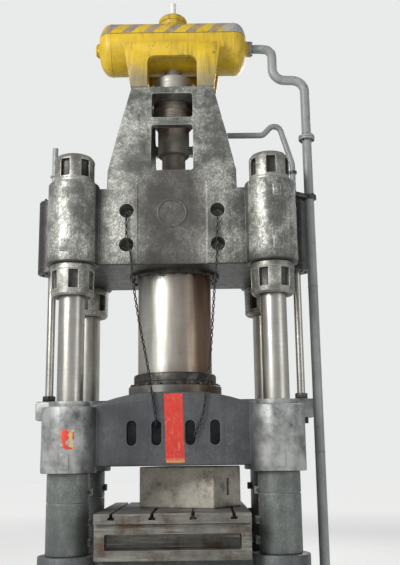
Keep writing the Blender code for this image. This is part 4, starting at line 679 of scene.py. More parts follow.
class PRESS_OT_finishes(bpy.types.Operator):
    """Mix the finishes of the press"""
    bl_idname = "press.finishes"
    bl_label = "Mix finishes"

    def execute(self, context):
        colours = context.scene.press_colours
        # Aluminium paint on sand-cast steel: dull silver, bright only where slings have scratched it.
        painted_casting(CASTING, colours.bare_casting, "#3F3F3C", "#E9E8E0", 0.55, wear=0.8, extra=browned_panel_and_painted_shade)
        # The same steel under the spanners: paler and rubbed, with painted shade in its pockets.
        painted_casting("Rubbed cast steel nut", "#94938B", "#4A4944", "#E0DED5", 0.6, 385, 0.7, pocket_painted_shade)
        # Grey paint under shop dust: flat and even.
        painted_casting("Grey painted bed casting", "#58595B", "#37383A", "#85867F", 0.3, 833, 0.3)
        painted_casting(SLEEVE, "#646966", "#4A4E4C", "#A8AAA3", 0.35, 667, 0.3)
        # Grey paint soaked with oil: darker and smoother than the castings above it.
        painted_casting("Oily painted crosshead casting", colours.dark_casting, "#333436", "#7C7D7B", 0.35, 769,
                        0.22, oiled_and_striped)
        # A turned and oiled forging: near black, with a soft shine.
        painted_casting(DARK, "#424140", "#2A2928", "#77756F", 0.55, 500, 0.3)
        # Ground and honed bar: a bright line down each side, spread by the grinding and dulled by oil.
        ground_steel("Ground column steel")
        ground_steel("Honed plunger steel", "#C6C3BA", "#5B4A38", 0.58, 0.4, 0.30, 1.667, oil_film_and_painted_shade)
        # A forging browned by heat, with its scale rubbed off in rings.
        forged_plate("Browned valve forging", "#8B8178", "#5C5148", "#7A4524", 0.7, (200, 200, 25), heated_bands)
        # Brushed enamel: even colour and a soft shine, chipped to grey metal and run with grime.
        enamel("Yellow tank enamel", colours.tank_yellow, "#6E6A60", 0.66, extra=tank_stripes)
        enamel(YELLOW, colours.tank_yellow, "#6F6A58", grime_amount=0.75, extra=foot_grime)
        enamel(PIPE, "#8B8E8C", "#5B4A3C", 0.64, 0.4, "#3D3B37", 0.45)
        enamel("White vent enamel", "#D2D2CC", "#8A7F72", 0.66, 0.35, "#7C776B", 0.4)
        # Forged and rolled plate: rubbed pale along its length, dark and a little rusty between.
        forged_plate("Forged die steel", "#BFB9AC", "#968F82")
        forged_plate("Worn table plate", "#74716A", "#4E4B46", "#5A3B28", 0.6)
        # Small parts: bronze shines warm, oiled bolts and chain stay dark, greased leather hardly shines.
        plain_metal("Oiled bronze", "#9A6B33", "#5F3F1E", 0.3)
        plain_metal(BOLT, "#5B5955", "#3A3936", 0.45, 1.0, 143)
        plain_metal("Dark chain steel", "#4A4845", "#1F1E1D", 0.5, 0.9, 16.67)
        plain_metal("Greased leather packing", "#2A211A", "#120E0B", 0.55, 0.0, 25)
        return {"FINISHED"}


# Columns and what sits round them
class PRESS_OT_columns(bpy.types.Operator):
    """Turn the four columns with their centred ends"""
    bl_idname = "press.columns"
    bl_label = "Columns"

    def execute(self, context):
        for where in CORNERS:
            node = "column_" + where
            low, high, middle = span(node)
            radius = (high.x - low.x) / 2
            profile = (raised([(0.0, -0.04), (0.018, -0.03), (0.03, -0.012), (0.05, -0.010), (0.055, 0.0)], high.z)
                       + raised([(-0.022, 0.0), (0.0, -0.022)], high.z, radius)
                       + raised([(0.0, 0.02), (-0.02, 0.0)], low.z, radius) + [(0.0, low.z)])
            give(turned("bar_" + node, profile, (middle.x, middle.y, 0.0)), "Ground column steel", node)
        return {"FINISHED"}


# For each nut, from its rims: the top and the foot outside, then the foot and the top of the bore
NUTS = {
    "under_nut_": ([(-0.012, 0.0), (0.0, -0.012), (0.0, -0.085), (-0.012, -0.09), (-0.012, -0.10), (-0.001, -0.105)],
                   [(-0.01, 0.03), (-0.035, 0.0)], [(0.02, 0.0), (0.0, 0.02)], [(0.0, 0.0)]),
    "top_nut_": ([(-0.065, 0.0), (-0.04, -0.012), (-0.012, -0.045), (0.0, -0.075)],
                 [(0.0, 0.07), (-0.008, 0.064), (-0.008, 0.054), (0.0, 0.048), (0.0, 0.012), (-0.012, 0.0)],
                 [(0.0, 0.0)], [(0.0, -0.02), (0.02, 0.0)]),
    "foot_nut_": ([(0.0, 0.0)], [(0.0, 0.02), (-0.02, 0.0)], [(0.0, 0.0)], [(0.0, 0.0)]),
}


class PRESS_OT_nuts(bpy.types.Operator):
    """Turn the column nuts above, under and below, and mill their spanner pockets"""
    bl_idname = "press.nuts"
    bl_label = "Column nuts"

    def execute(self, context):
        for kind, (top, foot, bore_foot, bore_top) in NUTS.items():
            for where in CORNERS:
                low, high, middle = span(kind + where)
                radius, height = (high.y - low.y) / 2, high.z - low.z
                nut = turned("turned_" + kind + where, raised(top, height, radius) + raised(foot, 0.0, radius)
                             + raised(bore_foot, 0.0, BORE) + raised(bore_top, height, BORE))
                angle = NUT_TURNS[where] + (math.pi / POCKETS if kind == "top_nut_" else 0.0)
                pockets = [set_down(block("pocket", (radius - 0.075, -0.075, height * 0.20),
                                          (radius + 0.085, 0.075, height * 0.79), 0.012, 2),
                                    turn=(0.0, 0.0, angle + math.tau * number / POCKETS))
                           for number in range(POCKETS)]
                shade(cut_out(nut, gather("pockets", pockets)))
                set_down(nut, (middle.x, middle.y, low.z))
                give(nut, DARK if kind == "foot_nut_" else "Rubbed cast steel nut", kind + where)
        return {"FINISHED"}


class PRESS_OT_sleeves(bpy.types.Operator):
    """Turn the stop sleeves, split them and clamp their halves"""
    bl_idname = "press.sleeves"
    bl_label = "Stop sleeves"

    def execute(self, context):
        for where in CORNERS:
            node = "stop_sleeve_" + where
            low, high, middle = span(node)
            radius, height = (high.y - low.y) / 2, high.z - low.z
            seam = height * (0.635 if middle.x < 0 else 0.73)
            sleeve = turned("half_ring_" + node, (
                raised([(-0.012, 0.0), (0.0, -0.012)], height, radius)
                + raised([(0.0, 0.009), (-0.012, 0.003), (-0.012, -0.003), (0.0, -0.009)], seam, radius)
                + raised([(0.0, 0.014), (-0.014, 0.0)], 0.0, radius) + [(BORE, 0.0), (BORE, height)]))
            cut_out(sleeve, block("split", (-0.4, -0.004, -0.1), (0.4, 0.004, height + 0.1)))
            inward = -math.copysign(1.0, middle.x)
            ears, heads = [], []
            for rise in (0.18, 0.46, 0.88):
                ear = block("ear", (inward * radius - 0.055, -0.07, rise - 0.055),
                            (inward * radius + 0.042, 0.07, rise + 0.055), 0.012)
                ears.append(cut_out(ear, block("ear_split", (-0.5, -0.006, 0.0), (0.5, 0.006, height)),
                                    post("ear_bore", 0.3, 0.0, 0.0, 0.0, height + 0.1, ROUND)))
                for side in (-1.0, 1.0):
                    heads.append(set_down(hex_bolt(0.046, 0.026), (inward * (radius + 0.008), side * 0.069, rise),
                                          (-side * QUARTER, 0.0, 0.0)))
            place = (middle.x, middle.y, low.z)
            clamps, heads = gather("clamp_ears_" + where, ears), gather("clamp_bolts_" + where, heads)
            give(shade(set_down(sleeve, place)), SLEEVE, node)
            give(shade(set_down(clamps, place)), SLEEVE)
            give(shade(set_down(heads, place)), BOLT)
        return {"FINISHED"}


# Upper crosshead
KNEE, WAIST, CROWN, SLOPE_Z = 7.1904, 7.9103, 8.80, 6.87      # heights at which the tower's flanks change


def tower_body(name, inset, low, high):
    """The tower as the common part of a front outline and a side outline."""
    widths = ((KNEE, 1.03 - inset), (WAIST, 0.8851 - inset), (CROWN, 0.685 - inset))

    def half_width(z):
        if z <= KNEE:
            return widths[0][1]
        (start, wide), (end, narrow) = widths[:2] if z <= WAIST else widths[1:]
        return wide + (narrow - wide) * (z - start) / (end - start)

    def both_sides(heights, half):
        right = [(half(z), z) for z in heights]
        return right + [(-a, z) for a, z in reversed(right)]

    levels = [low] + [z for z in (KNEE, WAIST) if low < z < high] + [high]
    front = cut_from_plate(name, both_sides(levels, half_width), -1.2, 1.2)
    levels = [low] + ([SLOPE_Z] if low < SLOPE_Z else []) + [high]
    side = both_sides(levels, lambda z: 1.0 - inset - 0.4 * max(0.0, z - SLOPE_Z) / 1.93)
    return combine(front, "INTERSECT", [cut_from_plate("tower_side", side, -1.3, 1.3, "X")])


class PRESS_OT_upper_crosshead(bpy.types.Operator):
    """Cast the upper crosshead with its windowed tower, bosses and ports"""
    bl_idname = "press.upper_crosshead"
    bl_label = "Upper crosshead"

    def execute(self, context):
        edge = context.scene.press_sizes.casting_edge
        body = block("casting_upper_crosshead", (-1.5, -1.0, 5.63), (1.5, 1.0, 6.87), edge)
        tower = round_over(tower_body("tower", 0.0, 5.97, CROWN), edge, 3, 20.0)
        weld_on(body, tower, block("side", (-1.7997, -0.62, 5.69), (1.7997, 0.62, 6.81), edge))
        for low in (5.815, 6.545):
            weld_on(body, block("ears", (-RETURN_X, -0.33, low), (RETURN_X, 0.33, low + 0.20), edge * 0.6))
        weld_on(body, *[post("boss", 0.40, x, y, 5.615, 6.92, ROUND, 0.02) for x, y in column_places()])
        for x in (-1.625, 1.625):
            for half, low, height in ((0.075, 5.78, 0.18), (0.06, 6.62, 0.17)):
                weld_on(body, block("pad", (x - half, -1.362, low), (x + half, -1.2, low + height), 0.006))
        cut_out(body, block("panel", (-0.55, -1.2, 5.4), (0.55, -0.975, 7.6), 0.02))
        for x, y in column_places():
            cut_out(body, post("bore", BORE, x, y, 5.4, 7.2, ROUND))
        cut_out(body, tower_body("cavity", 0.14, 7.19, 8.66))
        room = turned("cylinder_room", [(0.0, 7.25), (0.7206, 7.25), (0.7206, 6.9003), (0.8006, 6.9003),
                                        (0.8006, 5.4), (0.0, 5.4)])
        cut_out(body, room, post("neck_hole", 0.365, 0.0, 0.0, 8.5, 9.0, ROUND))
        for z, width, height, facing in ((7.615, 0.68, 0.85, "Y"), (8.421, 0.68, 0.472, "Y"),
                                         (7.615, 0.60, 0.85, "X")):
            cut_out(body, cut_from_plate("window", oblong(0.0, z, width, height, 0.045), -1.2, 1.2, facing))
        for x in (-PORT_X, PORT_X):
            for z in (5.95, 6.50):
                for side in (-1.0, 1.0):
                    cut_out(body, bar("port", 0.115, (x, side * 1.1, z), (x, side * 0.64, z), FINE))
        for x in (-RETURN_X, RETURN_X):
            cut_out(body, post("seat", 0.2415, x, 0.0, 5.4, 7.2, ROUND))
        give(shade(body, 24.0), CASTING, "upper_crosshead", "crosshead_tower")
        ring = turned("plain_ring_front", [(0.236, 0.010), (0.242, 0.004), (0.242, -0.004), (0.206, -0.004),
                                           (0.206, 0.004), (0.212, 0.010)], (0.0, -0.975, 6.465), "-Y")
        give(ring, CASTING)
        return {"FINISHED"}


# Cylinder, bush, gland and filling valve
class PRESS_OT_main_cylinder(bpy.types.Operator):
    """Turn the main cylinder, its bush, packing and bolted gland"""
    bl_idname = "press.main_cylinder"
    bl_label = "Main cylinder"

    def execute(self, context):
        profile = [(0.34, 7.36), (0.40, 7.355), (0.68, 7.255), (0.715, 7.235), (0.72, 7.21), (0.72, 6.93),
                   (0.735, 6.90), (0.80, 6.90), (0.80, 5.63), (0.6803, 5.63), (0.6803, 6.0606),
                   (0.63, 6.0606), (0.63, 7.12), (0.13, 7.12), (0.13, 7.36)]
        give(turned("turned_main_cylinder", profile), DARK, "main_cylinder")
        for node, finish in (("cylinder_bush", "Oiled bronze"), ("cylinder_packing", "Greased leather packing")):
            low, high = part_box(node)
            outer = (high.x - low.x) / 2
            give(turned("ring_" + node, [(outer, high.z), (outer, low.z), (0.6018, low.z),
                                         (SLEEVED, low.z + 0.004), (SLEEVED, high.z)]), finish, node)
        low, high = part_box("gland_ring")
        outer = (high.x - low.x) / 2
        give(turned("turned_gland_ring", [
            (outer, high.z), (outer, low.z + 0.012), (outer - 0.012, low.z), (0.625, low.z),
            (SLEEVED, low.z + 0.018), (SLEEVED, high.z)]), BOLT, "gland_ring")
        give(shade(bolts("gland_bolts", (0.0, 0.0, low.z), 20, 0.685, "-Z",
                         context.scene.press_sizes.bolt_size, 0.03)), BOLT)
        return {"FINISHED"}


class PRESS_OT_filling_valve(bpy.types.Operator):
    """Turn the filling valve's housing and bolt its flanges"""
    bl_idname = "press.filling_valve"
    bl_label = "Filling valve"

    def execute(self, context):
        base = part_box("filling_valve_body")[0].z
        housing = turned("turned_filling_valve", [(0.14, TANK_Z)] + raised([
            (0.14, 1.83), (0.17, 1.81), (0.29, 1.81), (0.30, 1.80), (0.30, 1.79), (0.325, 1.785), (0.339, 1.765),
            (0.339, 1.53), (0.33, 1.515), (0.33, 1.46), (0.339, 1.445), (0.339, 1.20), (0.325, 1.18),
            (0.325, 1.09), (0.33, 1.07), (0.34, 1.065), (0.34, 1.015), (0.332, 1.01), (0.34, 1.005),
            (0.34, 0.955), (0.335, 0.95), (0.285, 0.95), (0.27, 0.935), (0.27, 0.43), (0.26, 0.40),
            (0.215, 0.375), (0.20, 0.35), (0.20, 0.08), (0.215, 0.055), (0.235, 0.05), (0.295, 0.05),
            (0.30, 0.045), (0.30, 0.0), (0.12, 0.0)], base) + [(0.12, TANK_Z)])
        cut_out(housing, bar("tank_room", TANK_ROOM, (-1.2, 0.0, TANK_Z), (1.2, 0.0, TANK_Z), ROUND))
        give(shade(housing), "Browned valve forging", "filling_valve_body")
        rings = [bolts("valve_flange_bolts", (0.0, 0.0, base + 0.95), 12, 0.312, "-Z", 0.034, 0.022),
                 bolts("valve_base_bolts", (0.0, 0.0, base + 0.05), 12, 0.262, "Z", 0.044, 0.028)]
        give(shade(gather("valve_bolts", rings)), BOLT)
        return {"FINISHED"}


# Tank
class PRESS_OT_tank(bpy.types.Operator):
    """Roll and dome the tank, with its covers, nozzle, cradle and vent"""
    bl_idname = "press.tank"
    bl_label = "Tank and cradle"

    def execute(self, context):
        centre = (0.0, 0.0, TANK_Z)
        radius, half, dome, face = 0.453, 1.285, 0.20, 0.15
        right = [(face + (radius - face) * math.sin(QUARTER * s / 9), half - dome + dome * math.cos(QUARTER * s / 9))
                 for s in range(10)]
        bead = [(radius, 0.012), (radius + 0.005, 0.006), (radius + 0.005, -0.006), (radius, -0.012)]
        seam = half - dome - 0.02
        tank = turned("rolled_tank", [(0.0, half)] + right + raised(bead, seam) + raised(bead, -seam)
                      + [(r, -x) for r, x in reversed(right)] + [(0.0, -half)], centre, "X", 128)
        weld_on(tank, turned("nozzle", [(0.0, 1.335), (0.13, 1.335), (0.135, 1.33), (0.135, 1.28), (0.13, 1.275),
                                        (0.095, 1.275), (0.085, 1.26), (0.085, 1.1), (0.0, 1.1)], centre, "X", FINE))
        give(shade(tank), "Yellow tank enamel", "tank")
        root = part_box("tank_end_cover")[1].x
        cover = turned("turned_end_cover", [
            (0.0, 0.072), (0.07, 0.075), (0.095, 0.073), (0.10, 0.066), (0.10, 0.034), (0.105, 0.03),
            (0.126, 0.03), (0.13, 0.026), (0.13, 0.0), (0.0, 0.0)], (root, 0.0, TANK_Z), "-X", FINE)
        give(cover, YELLOW, "tank_end_cover")
        rings = [bolts("end_cover_bolts", (root - 0.03, 0.0, TANK_Z), 8, 0.115, "-X", 0.024, 0.014),
                 bolts("nozzle_bolts", (1.275, 0.0, TANK_Z), 8, 0.115, "-X", 0.026, 0.016)]
        give(shade(gather("tank_bolts", rings)), BOLT)
        manhole = turned("domed_manhole", raised([
            (0.06, 0.65), (0.10, 0.648), (0.16, 0.632), (0.205, 0.605), (0.235, 0.575), (0.245, 0.555),
            (0.25, 0.55), (0.25, 0.522), (0.245, 0.518), (0.25, 0.514), (0.25, 0.49), (0.235, 0.485),
            (0.228, 0.47), (0.228, 0.2), (0.052, 0.2), (0.052, 0.55), (0.06, 0.55)], TANK_Z))
        cut_out(manhole, bar("tank_room", TANK_ROOM, (-1.0, 0.0, TANK_Z), (1.0, 0.0, TANK_Z), ROUND))
        give(shade(manhole), YELLOW, "tank_manhole")
        low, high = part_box("vent_pipe")
        outer = (high.x - low.x) / 2
        vent = turned("capped_vent_pipe", [(0.0, high.z)] + raised([
            (-0.01, -0.002), (0.0, -0.012), (0.0, -0.05), (-0.006, -0.055), (-0.006, -0.11), (0.0, -0.115),
            (0.0, -0.14), (-0.006, -0.145)], high.z, outer) + [(outer - 0.006, low.z), (0.0, low.z)], steps=FINE)
        give(vent, "White vent enamel", "vent_pipe")
        self.cradle(context.scene.press_sizes.plate_edge)
        return {"FINISHED"}

    def cradle(self, edge):
        base, top = 8.8003, 9.6203
        body = cut_from_plate("welded_cradle", [(-0.70, base), (0.70, base), (0.83, top), (-0.83, top)], -0.59, 0.59)
        arch = rounded([(-0.417, base - 0.1, 0.0), (0.417, base - 0.1, 0.0), (0.417, base + 0.57, 0.13),
                        (-0.417, base + 0.57, 0.13)], 10)
        cut_out(body, cut_from_plate("arch", arch, -0.8, 0.8),
                bar("tank_room", TANK_ROOM, (-1.0, 0.0, TANK_Z), (1.0, 0.0, TANK_Z), ROUND),
                block("middle", (-0.447, -0.48, base - 0.1), (0.447, 0.48, top + 0.1)),
                block("pocket", (0.527, -0.48, base + 0.08), (1.2, 0.48, top + 0.1)),
                block("pocket", (-1.2, -0.48, base + 0.08), (-0.527, 0.48, top + 0.1)))
        give(shade(round_over(body, edge, 2, 40.0), 24.0), YELLOW, "tank_cradle")
        heads = [Matrix.Translation((x, y, base + 0.08)) for x in (-0.62, 0.62) for y in (-0.30, 0.0, 0.30)]
        give(shade(copies("cradle_bolts", hex_bolt(0.06, 0.04), heads)), BOLT)


# Moving crosshead and plunger
class PRESS_OT_moving_crosshead(bpy.types.Operator):
    """Cast the moving crosshead with its bosses, slots and rod lugs"""
    bl_idname = "press.moving_crosshead"
    bl_label = "Moving crosshead"

    def execute(self, context):
        edge = context.scene.press_sizes.casting_edge
        under = 2.5796
        top = [(1.4493, 3.4259), (1.139, 3.4997), (0.86, 3.583), (0.7006, 3.6196), (0.42, 3.6646)]
        outline = [(-1.4493, under), (1.4493, under)] + top + [(-x, z) for x, z in reversed(top)]
        body = round_over(cut_from_plate("casting_moving_crosshead", outline, -1.0, 1.0), edge, 3, 40.0)
        weld_on(body, block("side", (-1.76, -0.62, 2.6296), (1.76, 0.62, 3.3759), edge),
                block("lugs", (-2.23, -0.16, 3.2996), (2.23, 0.16, 3.5996), edge))
        for x, y in column_places():
            weld_on(body, post("boss", 0.41, x, y, 2.4896, 3.4496, ROUND, 0.02),
                    post("collar", 0.31, x, y, 3.36, 3.5296, ROUND, 0.01))
        for x in (-COLUMN_X, COLUMN_X):
            weld_on(body, block("pad", (x - 0.0635, -1.372, 2.55), (x + 0.0635, -1.2, 2.765), 0.006))
        for x, y in column_places():
            cut_out(body, post("bore", 0.2512, x, y, 2.3, 3.7, ROUND))
        for x in (-0.62, -0.25, 0.25, 0.62):
            for ends in ((-1.1, -0.70), (0.70, 1.1)):
                cut_out(body, cut_from_plate("slot", oblong(x, 3.0596, 0.15, 0.37, 0.0748, 10), *ends))
        for x in (-RETURN_X, RETURN_X):
            cut_out(body, post("rod_hole", 0.066, x, 0.0, 3.2, 3.7))
        give(shade(body, 24.0), "Oily painted crosshead casting", "moving_crosshead", body="crosshead")
        for where in CORNERS:
            node = "column_bush_" + where
            low, high, middle = span(node)
            profile = [(0.2503, high.z), (0.2503, low.z), (0.212, low.z), (0.2012, low.z + 0.012),
                       (0.2012, high.z - 0.012), (0.212, high.z)]
            give(turned("ring_" + node, profile, (middle.x, middle.y, 0.0)), "Oiled bronze", node, body="crosshead")
        return {"FINISHED"}


class PRESS_OT_plunger(bpy.types.Operator):
    """Turn the plunger, its foot flange and the bolted retaining ring"""
    bl_idname = "press.plunger"
    bl_label = "Plunger"

    def execute(self, context):
        low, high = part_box("plunger")
        foot = low.z + 0.135
        profile = [(0.0, high.z), (0.565, high.z), (0.60, high.z - 0.035), (0.60, foot), (0.745, foot),
                   (0.75, foot - 0.006), (0.75, low.z + 0.006), (0.745, low.z), (0.0, low.z)]
        give(turned("honed_plunger", profile, steps=160), "Honed plunger steel", "plunger", body="crosshead")
        low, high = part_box("plunger_retainer")
        ring = turned("turned_retaining_ring", (
            raised([(-0.03, 0.0), (-0.01, -0.01), (0.0, -0.03)], high.z, (high.x - low.x) / 2)
            + raised([(0.0, 0.075), (-0.005, 0.07), (0.0, 0.065), (0.0, 0.0)], low.z, (high.x - low.x) / 2)
            + [(SLEEVED, low.z), (SLEEVED, high.z - 0.01), (0.611, high.z)]), steps=128)
        give(ring, BOLT, "plunger_retainer", body="crosshead")
        size = context.scene.press_sizes.bolt_size
        give(shade(bolts("flange_bolts", (0.0, 0.0, foot), 20, 0.708, "Z", size, 0.04)), BOLT, body="crosshead")
        return {"FINISHED"}


# Return cylinders, rods and nuts
class PRESS_OT_return_gear(bpy.types.Operator):
    """Turn the return cylinders with their bands, rods and rod nuts"""
    bl_idname = "press.return_gear"
    bl_label = "Return cylinders"

    def execute(self, context):
        for side, sign in SIDES.items():
            x = sign * RETURN_X
            low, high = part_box("return_cylinder_" + side)
            cylinder = turned("turned_return_cylinder_" + side, raised([
                (0.042, 0.0), (0.16, 0.0), (0.17, -0.012), (0.225, -0.02), (0.24, -0.035), (0.24, -0.10),
                (0.232, -0.105), (0.232, -0.115), (0.24, -0.12)], high.z) + raised([
                    (0.24, 0.11), (0.232, 0.105), (0.232, 0.095), (0.24, 0.09), (0.24, 0.012), (0.228, 0.0),
                    (0.10, 0.0), (0.066, 0.006), (0.066, 0.1), (0.19, 0.1)], low.z) + [
                        (0.19, high.z - 0.1), (0.042, high.z - 0.1)], (x, 0.0, 0.0))
            give(cylinder, DARK, "return_cylinder_" + side)
            ends = [bolts("cap_bolts", (x, 0.0, high.z - 0.02), 8, 0.198, "Z", 0.04, 0.03, 0.2),
                    bolts("gland_bolts", (x, 0.0, low.z), 6, 0.15, "-Z", 0.036, 0.024)]
            give(shade(gather("return_cylinder_bolts_" + side, ends)), BOLT)
            low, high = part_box("return_rod_" + side)
            rod = turned("ground_return_rod_" + side, raised([
                (0.0, 0.0), (0.188, 0.0), (0.188, -0.035), (0.184, -0.038), (0.184, -0.05), (0.188, -0.053),
                (0.188, -0.09), (0.065, -0.09)], high.z) + raised([(0.065, 0.008), (0.057, 0.0), (0.0, 0.0)], low.z),
                (x, 0.0, 0.0), steps=FINE)
            give(rod, "Ground column steel", "return_rod_" + side, body="crosshead")
            for level in ("upper", "lower"):
                node = f"rod_nut_{level}_{side}"
                low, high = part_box(node)
                nut = hexagon("chamfered_" + node, 0.11, (x, 0.0, low.z), high.z - low.z, 0.008)
                cut_out(nut, post("thread", 0.0656, x, 0.0, low.z - 0.1, high.z + 0.1))
                give(shade(nut), BOLT, node, body="crosshead")
        return {"FINISHED"}


# Pipes
class PRESS_OT_pipes(bpy.types.Operator):
    """Bend the supply and return pipes and bolt their flanges and bracket"""
    bl_idname = "press.pipes"
    bl_label = "Pipes"

    def execute(self, context):
        self.return_pipes()
        self.supply_pipe()
        self.supply_bracket()
        return {"FINISHED"}

    def return_pipes(self):
        low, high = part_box("return_pipe_left")
        stub = turned("pipe_return_left", [
            (0.0, high.z - 0.004), (0.038, high.z - 0.004), (0.042, high.z), (0.05, high.z), (0.05, 7.45),
            (0.06, 7.445), (0.075, 7.445), (0.078, 7.44), (0.078, 7.42), (0.075, 7.415), (0.05, 7.41),
            (0.05, low.z + 0.05), (0.068, low.z + 0.045), (0.068, low.z), (0.0, low.z)],
            (-RETURN_X, 0.0, 0.0), steps=FINE)
        give(stub, PIPE, "return_pipe_left")
        foot = 6.9703
        hook = pipe("pipe_return_right", bent([(RETURN_X, 0.0, foot), (RETURN_X, 0.0, 7.60), (1.80, 0.0, 8.42),
                                               (1.55, 0.0, HOOK_Z), (0.60, 0.0, HOOK_Z)], 0.12), 0.05)
        cut_out(hook, tower_body("tower_room", -0.0003, 6.0, CROWN))
        give(shade(hook), PIPE, "return_pipe_right")
        unions = [hexagon("union", 0.078, (RETURN_X, 0.0, height + 0.005), 0.05, 0.006) for height in (foot, 7.42)]
        unions.append(bar("flank_flange", 0.095, (0.862, 0.0, HOOK_Z), (0.882, 0.0, HOOK_Z), FINE, 0.004))
        give(shade(gather("return_pipe_unions", unions)), BOLT)

    def supply_pipe(self):
        x, y = SUPPLY
        corners = [(x, y, 0.0), (x, y, 8.93), (1.70, -0.50, 8.93), (1.70, -0.50, 9.40), (1.66, 0.0, TANK_Z),
                   (PIPE_FACE, 0.0, TANK_Z)]
        give(pipe("pipe_supply", bent(corners, 0.20, 12), 0.078, 8), PIPE, "supply_pipe")
        rims = [turned("rim", raised([(0.130, 0.034), (0.135, 0.03), (0.135, 0.004), (0.130, 0.0), (0.075, 0.0),
                                      (0.075, 0.034)], low), (x, y, 0.0), steps=FINE) for low in (7.855, 7.893)]
        rims.append(turned("rim", [(0.130, 0.055), (0.135, 0.05), (0.135, 0.005), (0.13, 0.0), (0.075, 0.0),
                                   (0.075, 0.07), (0.085, 0.07), (0.095, 0.055)],
                           (PIPE_FACE, 0.0, TANK_Z), "X", FINE))
        for height in (2.75, 5.35):
            rims.append(turned("weld", raised([(0.077, 0.012), (0.083, 0.004), (0.083, -0.004), (0.077, -0.012)],
                                              height), (x, y, 0.0), steps=FINE))
        give(shade(gather("supply_flanges", rims)), PIPE)
        heads = [bolts("up", (x, y, 7.927), 8, 0.108, "Z", 0.03, 0.02),
                 bolts("down", (x, y, 7.855), 8, 0.108, "-Z", 0.03, 0.02),
                 bolts("end", (PIPE_FACE + 0.055, 0.0, TANK_Z), 8, 0.114, "X", 0.026, 0.018)]
        give(shade(gather("supply_bolts", heads)), BOLT)

    def supply_bracket(self):
        low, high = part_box("supply_bracket")
        boss, eye = Vector((COLUMN_X, -COLUMN_Y, 0.0)), Vector((*SUPPLY, 0.0))
        run = eye - boss
        heading = math.atan2(run.y, run.x)
        arm = set_down(block("arm", (0.0, -0.06, low.z), (run.length, 0.06, high.z), 0.008), boss,
                       (0.0, 0.0, heading))
        weld_on(arm, post("collar", 0.118, eye.x, eye.y, low.z, high.z, FINE, 0.006))
        cut_out(arm, post("boss_room", 0.4004, boss.x, boss.y, 6.0, 7.5, ROUND),
                post("eye_room", 0.0785, eye.x, eye.y, 6.0, 7.5))
        give(shade(arm), BOLT, "supply_bracket")
        across = Vector((math.cos(heading + QUARTER), math.sin(heading + QUARTER), 0.0)) * 0.098
        heads = [set_down(hex_bolt(0.03, 0.02), eye + side * across + Vector((0.0, 0.0, high.z - 0.001)))
                 for side in (-1.0, 1.0)]
        give(shade(gather("bracket_bolts", heads)), BOLT)


# Chains: places along each route as shares of its drop and of its way in, and then its end
HANGS = {
    "left": (((0.119, 0.013), (0.192, 0.160), (0.319, 0.243), (0.514, 0.460), (0.660, 0.667),
              (0.802, 0.837), (0.923, 0.976)), (0.967, 1.0)),
    "right": (((0.139, 0.039), (0.204, 0.049), (0.338, 0.140), (0.644, 0.312), (0.759, 0.428),
               (0.851, 0.505), (0.925, 0.583)), (1.020, 0.885)),
}
CHAIN_TOP, CHAIN_DROP, CHAIN_IN, CHAIN_Y = 6.413, 3.3534, 0.465, -1.05


class PRESS_OT_chains(bpy.types.Operator):
    """Hang the two link chains between the upper ports and the crosshead's slots"""
    bl_idname = "press.chains"
    bl_label = "Chains"

    def execute(self, context):
        tucked = Vector((0.0, 0.30, 0.0))
        for side, sign in SIDES.items():
            start, *hang, end = [Vector((sign * (PORT_X - CHAIN_IN * inward), CHAIN_Y, CHAIN_TOP - CHAIN_DROP * down))
                                 for down, inward in ((0.0, 0.0), *HANGS[side][0], HANGS[side][1])]
            route = bent([start + tucked, start, *smooth_line(hang, 4), end, end + tucked], 0.03, 6)
            chain = self.links("linked_chain_" + side, route, context.scene.press_sizes)
            give(chain, "Dark chain steel", "chain_" + side)
            chain.parent = None
            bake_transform(chain)
        return {"FINISHED"}

    def links(self, name, route, sizes):
        """One link, drawn out from a ring of bar, copied along the route with each turned on the last."""
        leave_edit()
        bpy.ops.mesh.primitive_torus_add(major_segments=16, minor_segments=6, major_radius=0.016,
                                         minor_radius=sizes.link_wire)
        link = started("link")
        bpy.ops.object.mode_set(mode="EDIT")
        bpy.ops.mesh.select_all(action="DESELECT")
        for sign in (1.0, -1.0):
            bpy.ops.object.mode_set(mode="OBJECT")
            for vertex in link.data.vertices:
                vertex.select = (vertex.co.x > 0.0001) == (sign > 0.0)
            bpy.ops.object.mode_set(mode="EDIT")
            bpy.ops.transform.translate(value=(sign * (sizes.link_pitch / 2 - 0.007), 0.0, 0.0))
        leave_edit()
        shade(link, 60.0)
        places, carry = [], sizes.link_pitch / 2
        for start, end in zip(route, route[1:]):
            heading = (end - start).normalized()
            aim = heading.to_track_quat("X", "Z").to_matrix().to_4x4()
            while carry < (end - start).length:
                twist = Matrix.Rotation(QUARTER * (len(places) % 2) + 0.35, 4, "X")
                places.append(Matrix.Translation(start + heading * carry) @ aim @ twist)
                carry += sizes.link_pitch
            carry -= (end - start).length
        return copies(name, link, places)


# Bed, table and die
class PRESS_OT_bed(bpy.types.Operator):
    """Cast the bed with its column bosses and cored underside"""
    bl_idname = "press.bed"
    bl_label = "Bed"

    def execute(self, context):
        edge = context.scene.press_sizes.casting_edge
        body = block("casting_bed", (-1.19, -1.0, 0.0), (1.19, 1.0, 1.30), edge)
        weld_on(body, block("side", (-1.77, -0.57, 0.0), (1.77, 0.57, 1.20), edge))
        for x, y in column_places():
            weld_on(body, post("boss", 0.42, x, y, 0.32, 1.34, ROUND, 0.02))
        for x, y in column_places():
            cut_out(body, post("bore", BORE, x, y, 0.2, 1.5, ROUND))
        for x in ((-1.03, -0.10), (0.10, 1.03)):
            for y in ((-0.84, -0.10), (0.10, 0.84)):
                cut_out(body, block("core", (x[0], y[0], -0.2), (x[1], y[1], 1.0), 0.04))
        give(shade(body, 24.0), "Grey painted bed casting", "bed")
        return {"FINISHED"}


